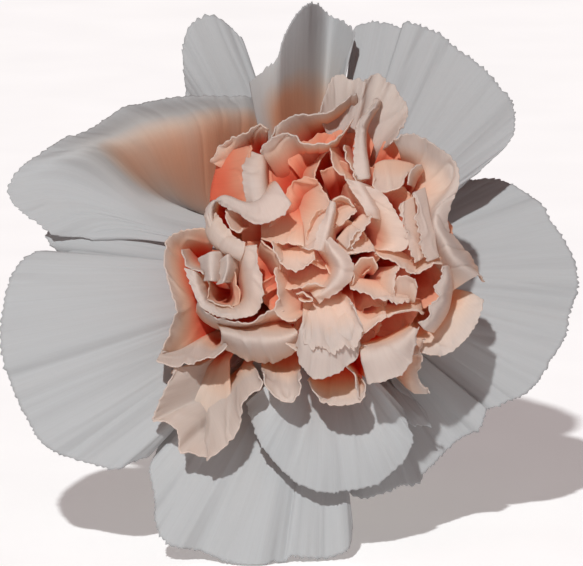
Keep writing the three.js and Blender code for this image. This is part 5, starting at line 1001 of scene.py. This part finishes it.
def tube(bm, centres, radii, sides):
    """A tube through the centres, closed at both ends: each ring is extruded out of the last one."""
    ring = bmesh.ops.create_circle(bm, segments=sides, radius=1.0)["verts"]
    last = len(centres) - 1
    first_ring = ring
    for k, (centre, radius) in enumerate(zip(centres, radii)):
        direction = (centres[min(k + 1, last)] - centres[max(k - 1, 0)]).normalized()
        if k > 0:
            edges = [bm.edges.get((a, b)) for a, b in zip(ring, ring[1:] + ring[:1])]
            made = bmesh.ops.extrude_edge_only(bm, edges=edges)["geom"]
            fresh = [g for g in made if isinstance(g, bmesh.types.BMVert)]
            follow = {}
            for vert in fresh:
                for edge in vert.link_edges:
                    other = edge.other_vert(vert)
                    if other not in fresh:
                        follow[other] = vert
            ring = [follow[vert] for vert in ring]
        place_ring(ring, centre, direction, radius)
    ends = [bmesh.ops.contextual_create(bm, geom=rim)["faces"][0] for rim in (first_ring, ring)]
    bmesh.ops.recalc_face_normals(bm, faces=bm.faces)
    return ends


STEM_SIDES = 32
STEM_RINGS = 150


def stem(finish, cut_finish):
    centres, _ = evenly(stem_line(), STEM_RINGS)
    radii = []
    for k in range(STEM_RINGS + 1):
        t = k / STEM_RINGS
        swelling = sum(math.exp(-(((t - joint) / JOINT_LENGTH) ** 2)) for joint in STEM_JOINTS)
        radii.append(STEM_RADIUS + JOINT_SWELLING * swelling)
    bm = bmesh.new()
    bm.loops.layers.uv.new("UVMap")
    ends = tube(bm, centres, radii, STEM_SIDES)
    bark = bmesh.ops.inset_region(bm, faces=ends[1:], thickness=0.35, depth=-0.08)["faces"]
    pith = bmesh.ops.inset_region(bm, faces=ends[1:], thickness=0.7, depth=0.04)["faces"]
    for face in [ends[1], *bark, *pith]:
        face.material_index = 1
    piece = new_piece("stem_with_joints", bm, Matrix.Identity(4), finish, "stem")
    piece.data.materials.append(cut_finish)
    return piece


def leaf_blade(name, line, outwards, finish, pair):
    """A narrow grooved blade with a keel, whose back faces outwards, from its sleeve to its point."""
    bm, shares = grid_of(22, 90)
    count = 90
    centres, _ = evenly(line, count)
    seed = len(name) + line[-1].x
    for vert, (u, v) in list(shares.items()):
        k = round(v * count)
        ahead = (centres[min(k + 1, count)] - centres[max(k - 1, 0)]).normalized()
        across = ahead.cross(outwards).normalized()
        back = across.cross(ahead)
        taper = 0.12 + 0.88 * math.sqrt(max(0.0, 1 - v ** 2.6))
        side = u - 0.5
        keel = 0.22 * math.exp(-((side / 0.07) ** 2)) * taper
        wavy = 0.25 * noise.noise((v * 7, side * 2, seed)) * v
        vert.co = (
            centres[k]
            + across * (LEAF_WIDTH * taper * side)
            + back * (keel + wavy - LEAF_CHANNEL * taper * 4 * side * side)
        )
    map_uv(bm, shares, LEAF_WIDTH)
    piece = new_piece(name, bm, Matrix.Identity(4), finish, pair)
    return thicken(piece, LEAF_WALL)


def leaf_pair(pair, lines, joint, finish):
    centres, _ = evenly(stem_line(), 400)
    k = round((joint - JOINT_LENGTH * 1.5) * 400)
    centre = centres[k]
    towards_bloom = (centres[k - 1] - centres[k + 1]).normalized()
    outwards = towards_bloom.cross(UP).normalized()
    above = outwards.cross(towards_bloom).normalized()
    for word, side, line in zip(("right", "left"), (1, -1), lines):
        points = [
            centre + outwards * (side * out) + towards_bloom * ahead + above * up
            for out, ahead, up in line
        ]
        leaf_blade(pair + "_" + word, points, outwards * side, finish, pair)

    bore = STEM_RADIUS + GAP + 0.25
    profile = [
        (bore, 0.0), (bore + 0.7, 0.05), (bore + 0.9, 0.6), (bore + 0.85, 2.5),
        (bore + 0.6, LEAF_SLEEVE_LENGTH), (bore + 0.1, LEAF_SLEEVE_LENGTH), (bore, 0.0),
    ]
    sleeve = turned(profile, 48)
    place = Matrix.Translation(centre) @ UP.rotation_difference(towards_bloom).to_matrix().to_4x4()
    new_piece(pair + "_sleeve", sleeve, place, finish, pair)


# ---- Finishes ----

CALYX_GREENS = [(0.2, 0.29, 0.12), (0.33, 0.42, 0.2), (0.45, 0.53, 0.38)]  # dark, light and waxy
BRACT_GREENS = [(0.24, 0.31, 0.13), (0.4, 0.45, 0.24), (0.5, 0.55, 0.4)]
STEM_GREENS = [(0.17, 0.27, 0.12), (0.27, 0.37, 0.19), (0.42, 0.52, 0.42)]
LEAF_GREENS = [(0.15, 0.24, 0.14), (0.24, 0.34, 0.23), (0.4, 0.5, 0.44)]
PITH_GREENS = [(0.5, 0.55, 0.3), (0.68, 0.7, 0.5), (0.72, 0.72, 0.58)]

# Colours of petals, as (paleness, colour). Their low, warm end also serves as painted shade, in the
# heart's pockets and on the guards' shaded folds.
GUARD_STOPS = [
    (0.0, (0.57, 0.24, 0.13)), (0.25, (0.59, 0.31, 0.19)), (0.42, (0.53, 0.4, 0.32)),
    (0.6, (0.49, 0.48, 0.465)), (1.0, (0.485, 0.505, 0.515)),
]
HEART_STOPS = [
    (0.0, (0.88, 0.15, 0.08)), (0.15, (0.9, 0.27, 0.15)), (0.3, (0.9, 0.44, 0.28)),
    (0.45, (0.87, 0.58, 0.42)), (0.6, (0.85, 0.68, 0.54)), (0.76, (0.83, 0.74, 0.65)),
    (1.0, (0.75, 0.71, 0.67)),
]
CLAW_STOPS = [(0.0, (0.62, 0.66, 0.42)), (1.0, (0.72, 0.74, 0.55))]
VEIN_TINTS = [(0.3, (0.965, 0.955, 0.95)), (0.62, (1.0, 1.0, 1.0))]

# The share of light that comes through a petal, and its warmth.
GUARD_GLOW, GUARD_LIGHT = 0.3, (1.0, 0.72, 0.64)
HEART_GLOW, HEART_LIGHT = 0.55, (1.0, 0.82, 0.72)
CLAW_GLOW, CLAW_LIGHT = 0.2, (1.0, 1.0, 0.9)
# Painted glow: colour and strength of the faint emission deep in the heart, in place of light that crowded
# petals pass on.
PAINTED_GLOW_COLOUR, PAINTED_GLOW_STRENGTH = (0.88, 0.56, 0.42), 0.12  # what crowded petals pass on


def node(tree, kind, **inputs):
    made = tree.nodes.new(kind)
    for key, value in inputs.items():
        made.inputs[key.replace("_", " ")].default_value = value
    return made


def coloured(tree, value, stops):
    made = tree.nodes.new("ShaderNodeValToRGB")
    elements = made.color_ramp.elements
    while len(elements) < len(stops):
        elements.new(0.5)
    for element, (place, colour) in zip(elements, stops):
        element.position = place
        element.color = (*colour, 1.0)
    tree.links.new(value, made.inputs[0])
    return made.outputs[0]


def attribute(tree, name):
    made = tree.nodes.new("ShaderNodeAttribute")
    made.attribute_name = name
    return made.outputs["Fac"]


def stretched(tree, place, scale):
    made = node(tree, "ShaderNodeMapping", Scale=scale)
    tree.links.new(place, made.inputs["Vector"])
    return made.outputs[0]


def noise_at(tree, place, scale, detail, roughness):
    made = node(tree, "ShaderNodeTexNoise", Scale=scale, Detail=detail, Roughness=roughness)
    tree.links.new(place, made.inputs["Vector"])
    return made.outputs["Fac"]


def relief(tree, height, strength, distance):
    made = node(tree, "ShaderNodeBump", Strength=strength, Distance=distance)
    tree.links.new(height, made.inputs["Height"])
    return made


def mixed(tree, colour, blend):
    """A mix that starts from the colour, with its second colour left open."""
    made = tree.nodes.new("ShaderNodeMix")
    made.data_type = "RGBA"
    made.blend_type = blend
    made.inputs["Factor"].default_value = 1.0
    tree.links.new(colour, made.inputs[6])
    return made


def petal_finish(name, stops, glow, warmth):
    """A thin, faintly veined and pleated petal that lets light through, flushed towards its foot partly in
    its own colour and partly in painted shade.

    Deep in the heart it also glows faintly: a painted glow, an emission that stands in for the light which
    crowded petals pass on.
    """
    material = bpy.data.materials.new(name)
    material.use_nodes = True
    tree = material.node_tree
    tree.nodes.clear()
    link = tree.links.new
    uv = tree.nodes.new("ShaderNodeUVMap")
    uv.uv_map = "UVMap"
    veins = noise_at(tree, stretched(tree, uv.outputs[0], (38.0, 2.2, 1.0)), 1.0, 3.0, 0.55)
    veined = mixed(tree, coloured(tree, attribute(tree, "flush_and_painted_shade"), stops), "MULTIPLY")
    link(coloured(tree, veins, VEIN_TINTS), veined.inputs[7])

    place = tree.nodes.new("ShaderNodeTexCoord")
    cells = noise_at(tree, place.outputs["Object"], 3200.0, 1.0, 0.5)
    fine = relief(tree, cells, 0.12, 0.00006)
    ribbed = relief(tree, veins, 0.25, 0.00008)
    link(fine.outputs[0], ribbed.inputs["Normal"])

    skin = node(
        tree, "ShaderNodeBsdfPrincipled", Roughness=0.75, Specular_IOR_Level=0.15,
        Sheen_Weight=0.06, Sheen_Roughness=0.4, Emission_Strength=PAINTED_GLOW_STRENGTH,
    )
    link(veined.outputs[2], skin.inputs["Base Color"])
    link(ribbed.outputs[0], skin.inputs["Normal"])
    # Painted glow: a faint emission where the heart's petals crowd, standing in for light they pass on to
    # each other.
    painted_glow_ramp = coloured(tree, attribute(tree, "painted_glow"), [(0.0, (0.0, 0.0, 0.0)), (1.0, PAINTED_GLOW_COLOUR)])
    link(painted_glow_ramp, skin.inputs["Emission Color"])
    through = tree.nodes.new("ShaderNodeBsdfTranslucent")
    warm = mixed(tree, veined.outputs[2], "MULTIPLY")
    warm.inputs[7].default_value = (*warmth, 1.0)
    link(warm.outputs[2], through.inputs["Color"])
    link(ribbed.outputs[0], through.inputs["Normal"])
    both = tree.nodes.new("ShaderNodeMixShader")
    both.inputs[0].default_value = glow
    link(skin.outputs[0], both.inputs[1])
    link(through.outputs[0], both.inputs[2])
    out = tree.nodes.new("ShaderNodeOutputMaterial")
    link(both.outputs[0], out.inputs["Surface"])
    return material


def plant_finish(name, greens, streaks, bump, roughness):
    """Fresh green tissue with fine nerves along it, cloudy patches and a dull waxy bloom."""
    material = bpy.data.materials.new(name)
    material.use_nodes = True
    tree = material.node_tree
    dark, light, wax = greens
    place = tree.nodes.new("ShaderNodeTexCoord").outputs["Object"]
    nerves = noise_at(tree, stretched(tree, place, streaks), 1000.0, 3.0, 0.6)
    clouds = noise_at(tree, place, 180.0, 4.0, 0.6)
    cover = coloured(tree, clouds, [(0.42, (0.0, 0.0, 0.0)), (0.72, (0.55, 0.55, 0.55))])
    waxed = mixed(tree, coloured(tree, nerves, [(0.3, dark), (0.7, light)]), "MIX")
    tree.links.new(cover, waxed.inputs["Factor"])
    waxed.inputs[7].default_value = (*wax, 1.0)
    skin = tree.nodes["Principled BSDF"]
    skin.inputs["Roughness"].default_value = roughness
    skin.inputs["Subsurface Weight"].default_value = 0.08
    skin.inputs["Subsurface Radius"].default_value = (0.001, 0.0015, 0.0006)
    tree.links.new(waxed.outputs[2], skin.inputs["Base Color"])
    tree.links.new(relief(tree, nerves, 0.6, bump).outputs[0], skin.inputs["Normal"])
    return material


guard_finish = petal_finish("petal_white", GUARD_STOPS, GUARD_GLOW, GUARD_LIGHT)
heart_finish = petal_finish("petal_flushed", HEART_STOPS, HEART_GLOW, HEART_LIGHT)
HEART_SEED = 100  # petals of the heart count on from here

for number, outline in enumerate(GUARD_PETALS):
    petal("petal_" + outline["name"], outline, number, GUARD_STYLE, guard_finish)
for number, outline in enumerate(HEART_PETALS):
    petal("petal_" + outline["name"], outline, number + HEART_SEED, HEART_STYLE, heart_finish)
core_petals(heart_finish)
core(heart_finish)

calyx_finish = plant_finish("calyx_green", CALYX_GREENS, (2.6, 0.12, 2.6), 0.0001, 0.5)
bract_finish = plant_finish("bract_green", BRACT_GREENS, (2.6, 0.12, 2.6), 0.0001, 0.55)
stem_finish = plant_finish("stem_green", STEM_GREENS, (3.0, 0.06, 3.0), 0.00008, 0.45)
leaf_finish = plant_finish("leaf_blue_green", LEAF_GREENS, (2.4, 0.1, 2.4), 0.00008, 0.5)
cut_finish = plant_finish("cut_stem_pith", PITH_GREENS, (3.0, 3.0, 3.0), 0.00008, 0.4)
claw_finish = petal_finish("claw_pale", CLAW_STOPS, CLAW_GLOW, CLAW_LIGHT)

claw_bundle(claw_finish)
calyx(calyx_finish)
for number in range(BRACT_COUNT):
    bract(number, bract_finish)
stem(stem_finish, cut_finish)
for (pair, lines), joint in zip(LEAF_PAIRS.items(), STEM_JOINTS):
    leaf_pair(pair, lines, joint, leaf_finish)

# ---- Table, light and camera ----

CAMERA_DISTANCE = 800.0
FRAME_CENTRE = (-4.355, -1.04)  # of the picture, in the face's frame
PICTURE_WIDTH, MM_PER_PIXEL = 583, 0.13
FRAME_WIDTH = PICTURE_WIDTH * MM_PER_PIXEL
SENSOR_WIDTH = 36.0
TABLE_RADIUS = 6.0  # in metres
TABLE_TINTS = [(0.3, (0.9, 0.9, 0.9)), (0.7, (0.93, 0.93, 0.93))]
SUN_STRENGTH, SUN_ANGLE, SUN_COLOUR = 3.4, math.radians(1.5), (0.98, 1.0, 1.0)
TO_SUN = FACE_TURN @ Vector((-0.15, 0.52, 1.0)).normalized()
SKY_COLOUR, SKY_STRENGTH = (1.0, 0.6, 0.58, 1.0), 0.155

scene = bpy.context.scene
scene.view_settings.view_transform = "Standard"

camera = bpy.data.objects.new("camera", bpy.data.cameras.new("camera"))
scene.collection.objects.link(camera)
eye = FACE @ Vector((*FRAME_CENTRE, CAMERA_DISTANCE)) * MM
camera.matrix_world = Matrix.Translation(eye) @ FACE_TURN
camera.data.sensor_width = SENSOR_WIDTH
camera.data.lens = SENSOR_WIDTH * CAMERA_DISTANCE / FRAME_WIDTH
camera.data.clip_start = 0.01
camera.data.clip_end = 100.0
scene.camera = camera


def table_finish():
    material = bpy.data.materials.new("pale_table")
    material.use_nodes = True
    tree = material.node_tree
    place = tree.nodes.new("ShaderNodeTexCoord")
    tint = coloured(tree, noise_at(tree, place.outputs["Object"], 40.0, 2.0, 0.5), TABLE_TINTS)
    skin = tree.nodes["Principled BSDF"]
    tree.links.new(tint, skin.inputs["Base Color"])
    tree.links.new(tint, skin.inputs["Emission Color"])
    skin.inputs["Emission Strength"].default_value = 0.3
    skin.inputs["Roughness"].default_value = 0.9
    return material


bm = bmesh.new()
bmesh.ops.create_circle(bm, cap_ends=True, segments=96, radius=TABLE_RADIUS)
table_mesh = bpy.data.meshes.new("table")
bm.to_mesh(table_mesh)
bm.free()
table = bpy.data.objects.new("table", table_mesh)
table.data.materials.append(table_finish())
scene.collection.objects.link(table)

sun = bpy.data.objects.new("sun", bpy.data.lights.new("sun", "SUN"))
sun.data.energy = SUN_STRENGTH
sun.data.angle = SUN_ANGLE
sun.data.color = SUN_COLOUR
sun.rotation_euler = TO_SUN.to_track_quat("Z", "Y").to_euler()
scene.collection.objects.link(sun)

world = bpy.data.worlds.new("soft_sky")
world.use_nodes = True
world.node_tree.nodes["Background"].inputs["Color"].default_value = SKY_COLOUR
world.node_tree.nodes["Background"].inputs["Strength"].default_value = SKY_STRENGTH
scene.world = world

bpy.context.view_layer.update()
